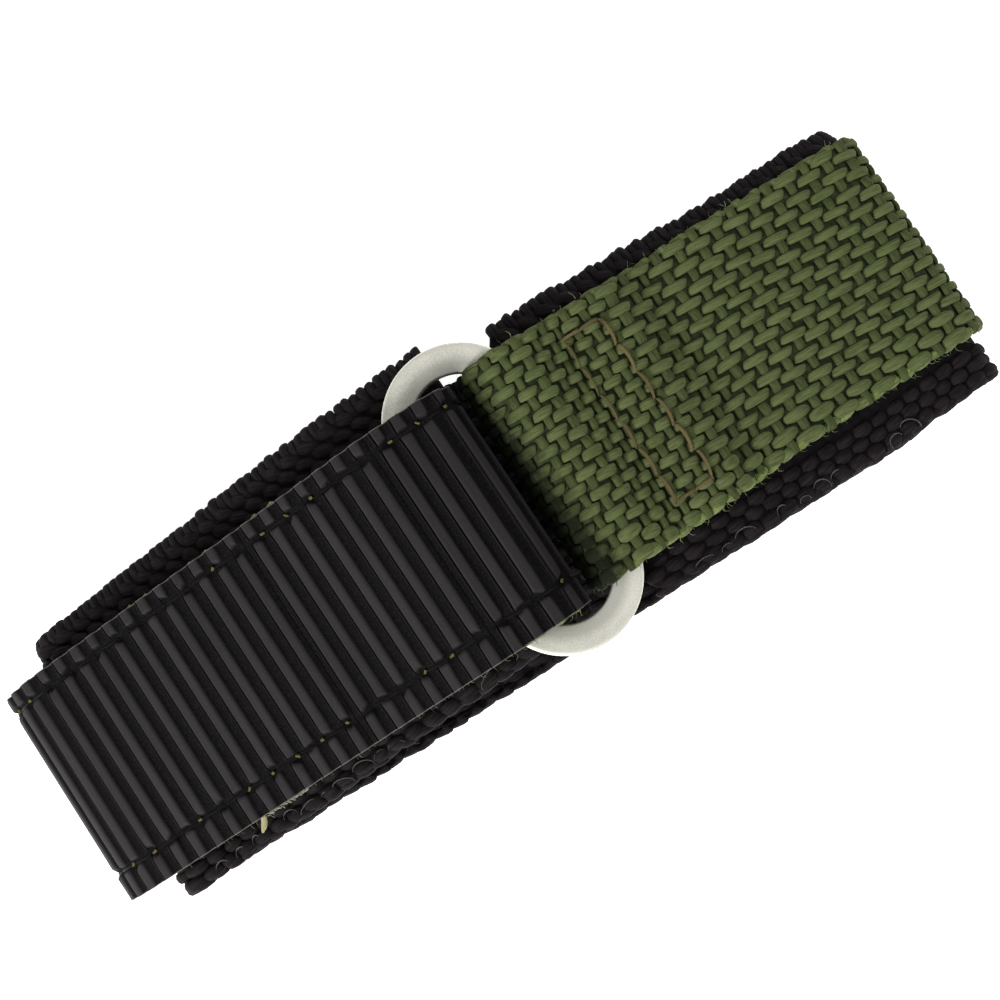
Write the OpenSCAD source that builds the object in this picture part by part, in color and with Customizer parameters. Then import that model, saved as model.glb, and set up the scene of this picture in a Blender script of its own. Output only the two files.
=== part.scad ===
// Hook and loop watch strap: a one-piece webbing strap on a wider pad, closed through an oval ring.
// X runs along the strap, Y across it and Z up. The loop lies flat on its outer face at Z = 0,
// and the ring is on top, over the origin.

/* [Strap] */
// Width of the outer strap, which is also the lug gap of the watch
strap_w = 20; // [16:0.5:22]
// Thickness of the outer strap's webbing
strap_t = 1.2; // [0.9:0.1:1.6]
// Width of the pad
pad_w = 25.6; // [23:0.2:30]
// Thickness of the pad's webbing
pad_t = 1.7; // [1.2:0.1:2.2]

/* [Loop] */
// Distance from the middle to the centre of the left turn
left_reach = 39.1; // [34:0.1:50]
// Distance from the middle to the centre of the right turn
right_reach = 37.7; // [34:0.1:50]
// Inner radius of the pad's left turn
left_turn_r = 1; // [0.6:0.1:2]
// Inner radius of the pad's right turn
right_turn_r = 1.5; // [0.6:0.1:2.5]
// Height of the wrist opening beside the ring, on the left
opening_left_h = 8.6; // [6:0.1:14]
// Height of the wrist opening beside the ring, on the right
opening_right_h = 9; // [6:0.1:14]
// Radius of the soft bends beside the ring
knee_r = 10; // [6:0.5:16]
// Distance from the middle to the left soft bend
left_knee_x = 9; // [8:0.1:11]
// Distance from the middle to the right soft bend
right_knee_x = 9.5; // [9:0.1:11]

/* [Pad] */
// Where the pad's left end stops under the ring
pad_left_end_x = 0.2; // [-1:0.1:1.5]
// Where the pad's right end stops under the ring
pad_right_end_x = 5; // [3:0.1:6]
// Sideways drift of the pad at the left turn
pad_drift_left = 0.9; // [-1.5:0.1:1.5]
// Sideways drift of the pad at the right turn
pad_drift_right = -1.8; // [-2:0.1:2]
// Sideways drift of the pad's left end
pad_drift_left_end = 1.8; // [-2:0.1:2]
// Sideways drift of the pad's right end
pad_drift_right_end = -0.3; // [-2:0.1:2]
// Corner cut at the pad's two ends
pad_corner = 1.2; // [0.4:0.1:2]

/* [Ring] */
// Overall length of the ring, across the strap
ring_l = 26.9; // [25:0.1:32]
// Overall width of the ring, along the strap
ring_w = 12.4; // [12:0.1:14]
// Width of the ring's band
ring_band = 2.4; // [1.8:0.1:2.6]
// Thickness of the ring
ring_t = 1.5; // [1.2:0.1:1.8]
// Where the middle of the ring lies along the strap
ring_x = -0.25; // [-0.5:0.05:0.2]
// Play between the ring and the strap that is folded round its right bar
keeper_play = 0.2; // [0.15:0.05:0.4]
// Where the fold round the ring's right bar reaches to
keeper_fold_x = 0.9; // [0.8:0.1:1.4]
// Length of the folded end past the soft bend
keeper_end_l = 2.2; // [2:0.1:6]

/* [Tail] */
// Room between the ring and the tail above it
tail_lift = 0.95; // [0.8:0.05:1.5]
// Where the tail's fold, with its tape, reaches to
tail_fold_x = 0.5; // [-0.5:0.1:0.6]
// Where the tail starts to slope down
tail_crest_x = -7.6; // [-9:0.1:-7]
// Distance along the left leg, from its soft bend, to where the tail lies down on it
tail_landing_l = 4.5; // [3:0.1:8]
// Gap between the hooks and the loops
grip_gap = 0.3; // [0.3:0.05:0.6]
// Length of the tail's end part, from its tip to the second bend line
tail_end_l = 23; // [18:0.5:28]
// Distance from the fold to the first bend line
bend_line_l = 6.5; // [5:0.1:8]
// Gap between two parts of the tail at a bend line
bend_gap = 0.3; // [0.2:0.05:0.6]
// Height of the bend axes above the ribs
bend_axis_h = 0.8; // [0.4:0.1:1.5]

/* [Tapes] */
// Thickness of the ribbed tape over its ribs
tape_t = 0.55; // [0.4:0.05:0.9]
// Thickness of the ribbed tape between its ribs
tape_base_t = 0.25; // [0.15:0.05:0.3]
// Distance from rib to rib
rib_pitch = 1.85; // [1.4:0.05:2.4]
// Width of a rib's flat top
rib_w = 0.7; // [0.4:0.05:0.9]
// Angle that the ribbed tape goes on round the fold
tape_wrap = 150; // [90:5:160]
// Thickness of the hook tape
hook_t = 0.7; // [0.5:0.05:1]
// Thickness of the loop tape
loop_t = 0.8; // [0.5:0.05:1.2]
// Width of the hook tape and the loop tape
grip_w = 18; // [14:0.5:19]
// Distance from the fold to where the loop tape starts
loop_start_l = 12; // [11:0.5:16]
// Length of the loop tape
loop_l = 28; // [22:0.5:30]

/* [Stitching] */
// Thickness of the sewing thread
thread = 0.35; // [0.2:0.05:0.5]
// Length of one stitch and the hole after it
stitch_pitch = 2.55; // [1.8:0.05:3.2]
// Length of the hole after a stitch
stitch_hole = 0.35; // [0.2:0.05:0.6]
// Distance of the tape's seams from the edges of the strap
seam_margin = 2; // [1.2:0.1:3]
// Sideways drift of the tape's seams
seam_drift = 0.5; // [-0.6:0.1:0.6]
// Distance from the seam to the edge of the loop tape
loop_margin = 1.2; // [0.8:0.1:2]
// Width of the box seam that closes the fold round the ring
box_w = 15.4; // [10:0.2:18]
// Length of the box seam along the strap
box_l = 3.4; // [2.5:0.1:5]
// Distance from the end of the folded strap to the box seam
box_margin = 1.1; // [0.8:0.1:2]
// Distance from the fold to the seam that holds the pad's left end
pad_seam_l = 9; // [8:0.5:10]
// Distance between the two places where the watch's spring bars pass
bar_spacing = 38; // [30:1:46]
// Length of strap left loose round each spring bar
bar_room = 7; // [5:0.5:9]

/* [Hidden] */

// Steps of the two turns and of the soft bends
turn_steps = 16;
knee_steps = 3;
// Step of the left turn at which the tail's tip is cut
tip_step = 8;
round_fn = 48;
// Width of the sloping side of a rib
rib_side = 0.15;
// Length of the step in the strap before its folded end, and the room beside that end
step_l = 2.1;
step_room = 0.3;
// Gap between the strap and its folded end
fold_gap = 0.1;
// Cut that leaves a corner of the pad all but sharp
sharp = 0.01;
// Extra size of the shapes that trim the pad
trim_room = 6;
// Shortest stretch left beside a corner when a layer is cut
nearest = 0.01;

// Heights of the pad's inner face at the bottom and beside the ring
floor_z = strap_t + pad_t;
left_z = floor_z + opening_left_h;
right_z = floor_z + opening_right_h;

// Circles that the pad's inner face runs round, as [x, z, radius]
left_turn = [-left_reach, floor_z + left_turn_r, left_turn_r];
right_turn = [right_reach, floor_z + right_turn_r, right_turn_r];
left_knee = [-left_knee_x, left_z - knee_r, knee_r];
right_knee = [right_knee_x, right_z - knee_r, knee_r];

// Distances from the pad's inner face
doubled = pad_t + strap_t;
tail_d = doubled + loop_t + grip_gap + hook_t + strap_t;

// The ring lies with its right bar in the fold of the strap
ring_z = right_z + doubled + keeper_play + ring_t / 2;
bar_r = ring_w / 2 - ring_band / 2;
ring_straight = ring_l - ring_w;
keeper_r = ring_t / 2 + keeper_play;
keeper_x = keeper_fold_x + strap_t + keeper_r;

// The tail comes up through the ring and folds back over its left bar
tail_z = ring_z + ring_t / 2 + tail_lift + strap_t;
fold_r = (tail_z - left_z - pad_t) / 2;
fold_c = [tail_fold_x - tape_t - fold_r, tail_z - fold_r];

// A point at angle a on a circle
function on_circle(c, r, a) = [c[0] + r * cos(a), c[1] + r * sin(a)];

// Points of an arc from angle a to angle b
function arc(c, r, a, b, steps) = [for (i = [0 : steps]) on_circle(c, r, a + (b - a) * i / steps)];

// Direction in which a belt from circle p to circle q faces outwards
function facing(p, q) =
    atan2(q[1] - p[1], q[0] - p[0]) - acos((p[2] - q[2]) / norm([q[0] - p[0], q[1] - p[1]]));

// The direction of stretch i of a route, and its outward side, which is on the right
function heading(r, i) = (r[i + 1] - r[i]) / norm(r[i + 1] - r[i]);
function side(h) = [h[1], -h[0]];

// Where corner i of a route lands when the whole route is moved outwards by d
function moved(r, i, d) =
    i == 0 ? r[0] + d * side(heading(r, 0)) :
    i == len(r) - 1 ? r[i] + d * side(heading(r, i - 1)) :
    let (a = side(heading(r, i - 1)), b = side(heading(r, i))) r[i] + d * (a + b) / (1 + a * b);
function moved_part(r, first, last, d) =
    [for (i = [first : (first < last ? 1 : -1) : last]) moved(r, i, d)];

// The point at distance l from p towards q
function towards(p, q, l) = p + l * (q - p) / norm(q - p);

// The distance along a route to each of its corners
function marks(r) =
    [for (i = 0, s = 0; i < len(r); s = s + (i + 1 < len(r) ? norm(r[i + 1] - r[i]) : 0), i = i + 1) s];
function route_length(r) = marks(r)[len(r) - 1];

// The point at distance s along a route, moved outwards by d
function at(r, m, s, d) =
    let (i = max([for (k = [0 : len(r) - 2]) if (k == 0 || m[k] <= s) k]), h = heading(r, i))
    r[i] + (s - m[i]) * h + d * side(h);

// One face of a layer, from s to e along a route
function face(r, m, s, e, d) = concat([at(r, m, s, d)],
    [for (i = [1 : len(r) - 2]) if (m[i] > s + nearest && m[i] < e - nearest) moved(r, i, d)],
    [at(r, m, e, d)]);
function reversed(p) = [for (i = [len(p) - 1 : -1 : 0]) p[i]];

// The pad's inner face, from its left end round the loop to its right end
left_face = facing(left_knee, left_turn);
right_face = facing(right_turn, right_knee) + 360;
pad_route = concat([[pad_left_end_x, left_z]],
    arc(left_knee, knee_r, 90, left_face, knee_steps),
    arc(left_turn, left_turn_r, left_face, 270, turn_steps),
    arc(right_turn, right_turn_r, 270, right_face + 360, turn_steps),
    arc(right_knee, knee_r, right_face, 90, knee_steps),
    [[pad_right_end_x, right_z]]);
left_turn_i = knee_steps + 2;
right_turn_i = left_turn_i + turn_steps + 1;
right_knee_i = right_turn_i + turn_steps + 1;
right_top_i = right_knee_i + knee_steps;

// The tail: round the left turn from its tip, up the left leg and over the ring
tail_landing = towards(moved(pad_route, left_turn_i - 1, tail_d), moved(pad_route, left_turn_i, tail_d),
    tail_landing_l);
tail_route = concat(moved_part(pad_route, left_turn_i + tip_step, left_turn_i, tail_d),
    [tail_landing, [tail_crest_x, tail_z]]);
fold_turn = arc(fold_c, fold_r, 90, -90, turn_steps);

// The end of the strap that is folded round the ring's right bar and lies under the strap
function leg_point(l, d) =
    towards(moved(pad_route, right_knee_i, d), moved(pad_route, right_knee_i - 1, d), l);
step_up = [leg_point(keeper_end_l + step_room + step_l, pad_t),
    leg_point(keeper_end_l + step_room, doubled + fold_gap)];
over_bar = [[ring_x + ring_w / 2 + keeper_play, ring_z + keeper_r]];
keeper_turn = arc([keeper_x, ring_z], keeper_r, 90, 270, turn_steps / 2);
folded_end = concat(moved_part(pad_route, right_top_i, right_knee_i, doubled),
    [leg_point(keeper_end_l, doubled)]);

// The whole strap's face that lies on the pad, from the tail's tip to its folded end
strap_route = concat(tail_route, fold_turn,
    moved_part(pad_route, 1, right_knee_i - 1, pad_t), step_up,
    moved_part(pad_route, right_knee_i, right_top_i, doubled + fold_gap),
    over_bar, keeper_turn, folded_end);
strap_marks = marks(strap_route);
pad_marks = marks(pad_route);

// Places along the strap
fold_s = route_length(concat(tail_route, [fold_turn[0]]));
under_s = route_length(concat(tail_route, fold_turn));
strap_end_s = route_length(strap_route);
first_bend_s = fold_s - bend_line_l;
second_bend_s = tail_end_l;
tape_end_s = fold_s + tape_wrap / 180 * (under_s - fold_s);
step_s = route_length(concat(tail_route, fold_turn,
    moved_part(pad_route, 1, right_knee_i - 1, pad_t), step_up));
box_far_s = step_s + step_room + box_margin;
box_near_s = box_far_s + box_l;

// Bend axes of the tail, a little above its ribs
first_axis = at(strap_route, strap_marks, first_bend_s, -tape_t - bend_axis_h);
second_axis = at(strap_route, strap_marks, second_bend_s, -tape_t - bend_axis_h);
echo(first_bend_axis = first_axis, second_bend_axis = second_axis);
echo(ring_axis = [ring_x + bar_r, ring_z], strap_length = strap_end_s, pad_length = route_length(pad_route));

// A flat shape in X and Z, drawn across the strap from y = from to y = to
module across(from, to) {
    translate([0, to, 0])
        rotate([90, 0, 0])
            linear_extrude(height = to - from)
                children();
}

// One layer between the distances inner and outer of a route
module layer(r, m, s, e, inner, outer, w) {
    across(-w / 2, w / 2)
        polygon(concat(face(r, m, s, e, inner), reversed(face(r, m, s, e, outer))));
}

// One layer of the strap
module strap_layer(s, e, inner, outer, w) {
    layer(strap_route, strap_marks, s, e, inner, outer, w);
}

// One stitch on the strap, from s to e along it and from y to z across it
module stitch(s, e, from, to, d) {
    across(from, to)
        polygon(concat(face(strap_route, strap_marks, s, e, d),
            reversed(face(strap_route, strap_marks, s, e, d + thread))));
}

// A seam along the strap
module seam_along(s, e, y, d) {
    count = floor((e - s) / stitch_pitch);
    for (i = [0 : count - 1])
        stitch(s + i * stitch_pitch, s + (i + 1) * stitch_pitch - stitch_hole, y - thread / 2, y + thread / 2, d);
}

// A seam across the strap
module seam_across(s, w, d) {
    count = round(w / stitch_pitch);
    pitch = w / count;
    for (i = [0 : count - 1])
        stitch(s - thread / 2, s + thread / 2, -w / 2 + i * pitch + stitch_hole / 2,
            -w / 2 + (i + 1) * pitch - stitch_hole / 2, d);
}

// Outline of the pad seen from above, from x = a to x = b, drifting sideways from one to the other
module pad_plan(a, b, drift_a, drift_b, cut_a, cut_b) {
    translate([0, 0, -trim_room])
        linear_extrude(height = right_z + pad_t + 2 * trim_room)
            polygon([[a, drift_a - pad_w / 2 + cut_a], [a + cut_a, drift_a - pad_w / 2],
                [b - cut_b, drift_b - pad_w / 2], [b, drift_b - pad_w / 2 + cut_b],
                [b, drift_b + pad_w / 2 - cut_b], [b - cut_b, drift_b + pad_w / 2],
                [a + cut_a, drift_a + pad_w / 2], [a, drift_a + pad_w / 2 - cut_a]]);
}

// The band of the pad, wider than the pad itself
module pad_band() {
    layer(pad_route, pad_marks, 0, route_length(pad_route), 0, pad_t, pad_w + 2 * trim_room);
}

// The upper or lower half of the space round the pad, parted at the middle of the turns
module pad_half(upper) {
    reach = left_reach + right_reach + pad_w;
    translate([-reach, -pad_w, upper ? left_turn[1] : left_turn[1] - reach])
        cube([2 * reach, 2 * pad_w, reach]);
}

// The wide woven pad that lies inside the loop, open under the ring
module pad() {
    left_x = -left_reach - left_turn_r - 2 * pad_t;
    right_x = right_reach + right_turn_r + 2 * pad_t;
    color([0.14, 0.12, 0.13])
        union() {
            intersection() {
                pad_band();
                pad_half(false);
                pad_plan(left_x, right_x, pad_drift_left, pad_drift_right, sharp, sharp);
            }
            intersection() {
                pad_band();
                pad_half(true);
                pad_plan(left_x, pad_left_end_x, pad_drift_left, pad_drift_left_end, sharp, pad_corner);
            }
            intersection() {
                pad_band();
                pad_half(true);
                pad_plan(pad_right_end_x, right_x, pad_drift_right_end, pad_drift_right, pad_corner, sharp);
            }
        }
}

// The olive strap: from the tail's first bend line through the ring, round the loop and back to the ring
module outer_strap() {
    color([0.36, 0.42, 0.22])
        difference() {
            strap_layer(first_bend_s + bend_gap / 2, strap_end_s, 0, strap_t, strap_w);
            box_seam();
            pad_end_seam();
            seat_seams(-1);
            seat_seams(1);
        }
}

// Cross-section of the ring's band: flat, with fully rounded edges
module ring_section() {
    edge = ring_band / 2 - ring_t / 2;
    square([2 * edge, ring_t], center = true);
    for (x = [-edge, edge])
        translate([x, 0])
            circle(d = ring_t, $fn = round_fn);
}

// The oval metal ring
module ring() {
    color([0.82, 0.82, 0.78])
        translate([ring_x, 0, ring_z]) {
            for (turn = [0, 180])
                rotate([0, 0, turn]) {
                    translate([0, ring_straight / 2, 0])
                        rotate_extrude(angle = 180, $fn = round_fn)
                            translate([bar_r, 0])
                                ring_section();
                    translate([bar_r, ring_straight / 2, 0])
                        rotate([90, 0, 0])
                            linear_extrude(height = ring_straight)
                                ring_section();
                }
        }
}

// The seam that closes the strap round the ring's right bar, sunk by half its thread
module box_seam() {
    for (s = [box_far_s, box_near_s])
        seam_across(s, box_w - 2 * thread, strap_t - thread / 2);
    for (y = [-box_w / 2, box_w / 2])
        stitch(box_far_s, box_near_s, y - thread / 2, y + thread / 2, strap_t - thread / 2);
}

module box_stitching() {
    color([0.42, 0.35, 0.18]) box_seam();
}

// The seam that holds the pad's left end on the strap, sunk by half its thread
module pad_end_seam() {
    seam_across(under_s + pad_seam_l, strap_w - 2 * seam_margin, strap_t - thread / 2);
}

module pad_end_stitching() {
    color([0.10, 0.10, 0.10]) pad_end_seam();
}

// The two seams beside one spring bar, let into the strap's outer face
module seat_seams(way) {
    w = strap_w - 2 * seam_margin;
    count = round(w / stitch_pitch);
    for (x = [bar_spacing / 2 - bar_room / 2, bar_spacing / 2 + bar_room / 2])
        for (i = [0 : count - 1])
            translate([way * x - thread / 2, -w / 2 + i * w / count + stitch_hole / 2, 0])
                cube([thread, w / count - stitch_hole, thread]);
}

module seat_stitching_left() {
    color([0.42, 0.35, 0.18]) seat_seams(-1);
}

module seat_stitching_right() {
    color([0.42, 0.35, 0.18]) seat_seams(1);
}

// The seams along the two edges of the loop tape, let into it
module loop_seams() {
    for (y = [-1, 1])
        seam_along(under_s + loop_start_l + loop_margin, under_s + loop_start_l + loop_l - loop_margin,
            y * (grip_w / 2 - loop_margin), strap_t + loop_t - thread);
}

// The soft loop tape on the left leg
module loop_tape() {
    color([0.10, 0.10, 0.11])
        difference() {
            strap_layer(under_s + loop_start_l, under_s + loop_start_l + loop_l, strap_t, strap_t + loop_t, grip_w);
            loop_seams();
        }
}

module loop_tape_stitching() {
    color([0.16, 0.16, 0.16]) loop_seams();
}

// The tail's webbing between the two bend lines
module tail_webbing_middle() {
    color([0.36, 0.42, 0.22])
        strap_layer(second_bend_s + bend_gap / 2, first_bend_s - bend_gap / 2, 0, strap_t, strap_w);
}

// The tail's webbing from its tip to the second bend line
module tail_webbing_end() {
    color([0.36, 0.42, 0.22])
        strap_layer(0, second_bend_s - bend_gap / 2, 0, strap_t, strap_w);
}

// Corners of one rib, whose middle is at distance s along the strap
function rib(s) =
    let (top = rib_w / 2, foot = rib_w / 2 + rib_side)
    [for (p = [[-foot, tape_base_t], [-top, tape_t], [top, tape_t], [foot, tape_base_t]])
        at(strap_route, strap_marks, s + p[0], -p[1])];

// The ribbed tape from s to e along the strap
module ribbed_tape(s, e) {
    half = rib_w / 2 + 2 * rib_side;
    first = ceil((s + half) / rib_pitch);
    last = floor((e - half) / rib_pitch);
    ribs = [for (i = [first : last]) each rib(i * rib_pitch)];
    color([0.17, 0.17, 0.18])
        across(-strap_w / 2, strap_w / 2)
            polygon(concat(reversed(face(strap_route, strap_marks, s, e, 0)),
                [at(strap_route, strap_marks, s, -tape_base_t)], ribs,
                [at(strap_route, strap_marks, e, -tape_base_t)]));
}

module ribbed_tape_fold() {
    ribbed_tape(first_bend_s + bend_gap / 2, tape_end_s);
}

module ribbed_tape_middle() {
    ribbed_tape(second_bend_s + bend_gap / 2, first_bend_s - bend_gap / 2);
}

module ribbed_tape_end() {
    ribbed_tape(0, second_bend_s - bend_gap / 2);
}

// The hook tape under the tail
module hook_tape_middle() {
    color([0.10, 0.10, 0.11])
        strap_layer(second_bend_s + bend_gap / 2, first_bend_s - bend_gap / 2, strap_t, strap_t + hook_t, grip_w);
}

module hook_tape_end() {
    color([0.10, 0.10, 0.11])
        strap_layer(0, second_bend_s - bend_gap / 2, strap_t, strap_t + hook_t, grip_w);
}

// The two seams that hold the ribbed tape and the hook tape on the tail
module tape_seams(s, e) {
    color([0.08, 0.08, 0.09])
        for (y = [-1, 1])
            seam_along(s, e, y * (strap_w / 2 - seam_margin) + seam_drift, -tape_t - thread);
}

module tape_stitching_fold() {
    tape_seams(first_bend_s + bend_gap / 2, fold_s + fold_r);
}

module tape_stitching_middle() {
    tape_seams(second_bend_s + bend_gap / 2, first_bend_s - bend_gap / 2);
}

module tape_stitching_end() {
    tape_seams(stitch_hole, second_bend_s - bend_gap / 2);
}

pad();
outer_strap();
ring();
box_stitching();
pad_end_stitching();
seat_stitching_left();
seat_stitching_right();
loop_tape();
loop_tape_stitching();
tail_webbing_middle();
tail_webbing_end();
ribbed_tape_fold();
ribbed_tape_middle();
ribbed_tape_end();
hook_tape_middle();
hook_tape_end();
tape_stitching_fold();
tape_stitching_middle();
tape_stitching_end();
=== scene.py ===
"""Looks of the hook and loop watch strap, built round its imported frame: webbing, tapes, ring and seams."""

import math

import bpy
import numpy as np
from mathutils import Matrix, Vector


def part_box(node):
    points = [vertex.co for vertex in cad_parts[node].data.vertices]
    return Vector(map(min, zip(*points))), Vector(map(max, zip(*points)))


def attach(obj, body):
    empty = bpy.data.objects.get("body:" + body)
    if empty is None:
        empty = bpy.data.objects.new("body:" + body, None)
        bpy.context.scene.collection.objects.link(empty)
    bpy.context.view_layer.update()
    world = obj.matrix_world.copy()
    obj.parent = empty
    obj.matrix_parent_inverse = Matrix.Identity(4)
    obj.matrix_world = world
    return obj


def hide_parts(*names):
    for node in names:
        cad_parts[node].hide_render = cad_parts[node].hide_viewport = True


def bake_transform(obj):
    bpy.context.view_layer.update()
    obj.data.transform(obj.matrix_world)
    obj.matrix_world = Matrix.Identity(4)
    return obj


bl_info = {
    "name": "Hook and loop watch strap",
    "version": (1, 0, 0),
    "blender": (4, 5, 0),
    "location": "3D View > Sidebar > Watch strap",
    "description": "Builds a woven watch strap with a ribbed tail and an oval ring",
    "category": "Object",
}

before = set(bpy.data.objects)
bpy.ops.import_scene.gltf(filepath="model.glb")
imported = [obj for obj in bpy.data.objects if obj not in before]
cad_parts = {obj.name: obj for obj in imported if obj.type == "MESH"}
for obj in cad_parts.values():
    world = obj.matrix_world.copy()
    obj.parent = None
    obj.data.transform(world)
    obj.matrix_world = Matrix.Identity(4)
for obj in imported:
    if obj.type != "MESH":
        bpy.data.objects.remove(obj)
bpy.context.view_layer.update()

MM = 0.001
STEP = 0.1 * MM
ACROSS = np.array([0.0, 1.0, 0.0])


ARC_STEPS = 40


def extent(node, axis):
    """Size of a CAD node along one axis."""
    low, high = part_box(node)
    return high[axis] - low[axis]


def metres(name, description, default):
    """A length property, which the sidebar shows in its own unit."""
    return bpy.props.FloatProperty(
        name=name, description=description, default=default, unit="LENGTH", precision=5
    )


def hue(name, description, default):
    """A colour property, which the sidebar shows as a swatch."""
    return bpy.props.FloatVectorProperty(
        name=name, description=description, default=default, subtype="COLOR", size=3, min=0.0, max=1.0
    )


def degrees(name, description, default):
    """An angle property, given in degrees."""
    return bpy.props.FloatProperty(
        name=name, description=description, default=math.radians(default), subtype="ANGLE"
    )


class StrapSizes(bpy.types.PropertyGroup):
    """Sizes of the closed strap, most of them the same as in the part's source."""

    strap_width: metres("Strap width", "Width of the outer strap", extent("outer_strap", 1))
    strap_thick: metres("Strap thickness", "Thickness of the outer strap", 1.2 * MM)
    pad_width: metres("Pad width", "Width of the pad", 25.6 * MM)
    pad_thick: metres("Pad thickness", "Thickness of the pad", 1.7 * MM)
    left_reach: metres("Left reach", "From the middle to the centre of the left turn", 39.1 * MM)
    right_reach: metres("Right reach", "From the middle to the centre of the right turn", 37.7 * MM)
    left_turn: metres("Left turn", "Inner radius of the left turn", 1.0 * MM)
    right_turn: metres("Right turn", "Inner radius of the right turn", 1.5 * MM)
    left_opening: metres("Left opening", "Height inside the pad left of the ring", 8.6 * MM)
    right_opening: metres("Right opening", "Height inside the pad right of the ring", 9.0 * MM)
    knee: metres("Soft bend", "Radius of the soft bends beside the ring", 10.0 * MM)
    left_knee: metres("Left bend", "From the middle to the left soft bend", 9.0 * MM)
    right_knee: metres("Right bend", "From the middle to the right soft bend", 9.5 * MM)
    pad_left_end: metres("Pad left end", "Where the pad's left end stops", 0.2 * MM)
    pad_right_end: metres("Pad right end", "Where the pad's right end stops", 5.0 * MM)
    drift_left_end: metres("Drift, left end", "Sideways drift of the pad's left end", 1.8 * MM)
    drift_left: metres("Drift, left turn", "Sideways drift of the pad at the left turn", 0.2 * MM)
    drift_right: metres("Drift, right turn", "Sideways drift of the pad at the right turn", -1.5 * MM)
    drift_right_leg: metres("Drift, right leg", "Sideways drift of the pad above the right turn", -0.65 * MM)
    drift_right_upper: metres("Drift, upper leg", "Sideways drift of the pad by the box seam", -0.85 * MM)
    drift_right_end: metres("Drift, right end", "Sideways drift of the pad's right end", -0.1 * MM)
    strap_drift_turn: metres("Strap drift, turn", "Sideways drift of the strap at the right turn", 0.35 * MM)
    strap_drift_leg: metres("Strap drift, leg", "Sideways drift of the strap on the right leg", 0.6 * MM)
    strap_drift_ring: metres("Strap drift, ring", "Sideways drift of the strap at the ring", 0.3 * MM)
    pad_flare: metres("Pad flare", "How far the pad's loose edges stand out at the left turn", 1.1 * MM)
    ring_x: metres("Ring place", "Where the ring's middle lies along the strap", -0.25 * MM)
    ring_band: metres("Ring band", "Width of the ring's band", 2.4 * MM)
    ring_play: metres("Ring play", "Play between the ring and the fold that holds it", 0.2 * MM)
    keeper_fold: metres("Keeper fold", "Where the fold round the ring's right bar reaches to", 0.8 * MM)
    keeper_sag: metres("Keeper sag", "How far that fold sinks towards its tip", 1.9 * MM)
    keeper_droop: metres("Keeper droop", "How far back from its tip that fold starts to droop", 1.5 * MM)
    keeper_end: metres("Keeper end", "Length of the folded end past the soft bend", 2.2 * MM)
    tail_lift: metres("Tail lift", "Room between the ring and the tail", 0.95 * MM)
    tail_fold: metres("Tail fold", "Where the tail's fold reaches to", 0.5 * MM)
    tail_crest: metres("Tail crest", "Where the tail starts to slope down", -7.6 * MM)
    tail_landing: metres("Tail landing", "Along the left leg to where the tail lies down", 4.5 * MM)
    grip_gap: metres("Grip gap", "Gap between the hooks and the loops", 0.3 * MM)
    hook_thick: metres("Hook tape", "Thickness of the hook tape", 0.7 * MM)
    loop_thick: metres("Loop tape", "Thickness of the loop tape", 0.8 * MM)
    grip_width: metres("Grip width", "Width of the hook tape and the loop tape", 18.0 * MM)
    loop_start: metres("Loop tape start", "From the fold to the loop tape", 12.0 * MM)
    loop_length: metres("Loop tape length", "Length of the loop tape", 28.0 * MM)
    tape_thick: metres("Ribbed tape", "Thickness of the ribbed tape over its ribs", 0.55 * MM)
    tape_base: metres("Tape base", "Thickness of the ribbed tape between its ribs", 0.25 * MM)
    rib_pitch: metres("Rib pitch", "Distance from rib to rib", 1.85 * MM)
    rib_width: metres("Rib width", "Width of a rib's flat top", 0.62 * MM)
    rib_slope: metres("Rib slope", "Width of the slope on a rib's right side", 0.36 * MM)
    rib_start: metres("Rib start", "From the tail's tip to the middle of its first whole rib", 1.03 * MM)
    stitch_pitch: metres("Stitch pitch", "Length of one stitch and its hole", 2.55 * MM)
    thread: metres("Thread", "Thickness of the sewing thread", 0.35 * MM)
    seam_margin: metres("Seam margin", "From the tail's seams to its edges", 2.0 * MM)
    seam_drift: metres("Seam drift", "Sideways drift of the tail's seams", 0.5 * MM)
    box_width: metres("Box seam width", "Width of the box seam", 15.4 * MM)
    box_length: metres("Box seam length", "Length of the box seam along the strap", 3.4 * MM)
    box_margin: metres("Box seam margin", "From the folded end to the box seam", 1.1 * MM)
    pad_seam: metres("Pad seam place", "From the fold to the seam of the pad's end", 9.0 * MM)
    bar_spacing: metres("Spring bar spacing", "Between the passages of the spring bars", 38.0 * MM)
    bar_room: metres("Spring bar room", "Length left loose round each spring bar", 7.0 * MM)


class WeaveSizes(bpy.types.PropertyGroup):
    """Sizes of the yarns."""

    float_pitch: metres("Float pitch", "From one yarn's run over the strap's face to the next", 3.9 * MM)
    tight_pitch: metres("Tight pitch", "The same where the strap is sewn double by the ring", 2.67 * MM)
    float_share: bpy.props.FloatProperty(
        name="Float share", description="Length of a run, in pitches", default=0.63
    )
    float_width: metres("Float width", "Width of such a run", 0.85 * MM)
    row_gap: metres("Row gap", "From one row of runs to the next", 0.94 * MM)
    pair_shift: metres("Pair shift", "How far the rows draw together in pairs", 0.06 * MM)
    rows: bpy.props.IntProperty(name="Rows", description="Rows of runs across the strap", default=21)
    edge_rows: bpy.props.IntProperty(name="Edge rows", description="Close rows at the lower edge", default=3)
    skew: bpy.props.FloatProperty(
        name="Skew", description="How far the rows lag from side to side", default=0.035
    )
    braid_length: metres("Braid length", "Length of a lump of the pad's braid", 2.9 * MM)
    braid_width: metres("Braid width", "Width of a lump of the pad's braid", 1.15 * MM)
    braid_pitch: metres("Braid pitch", "From one lump to the next in a row", 2.75 * MM)
    edge_pitch: metres("Edge pitch", "From one lump to the next along the pad's edges", 1.85 * MM)


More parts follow.
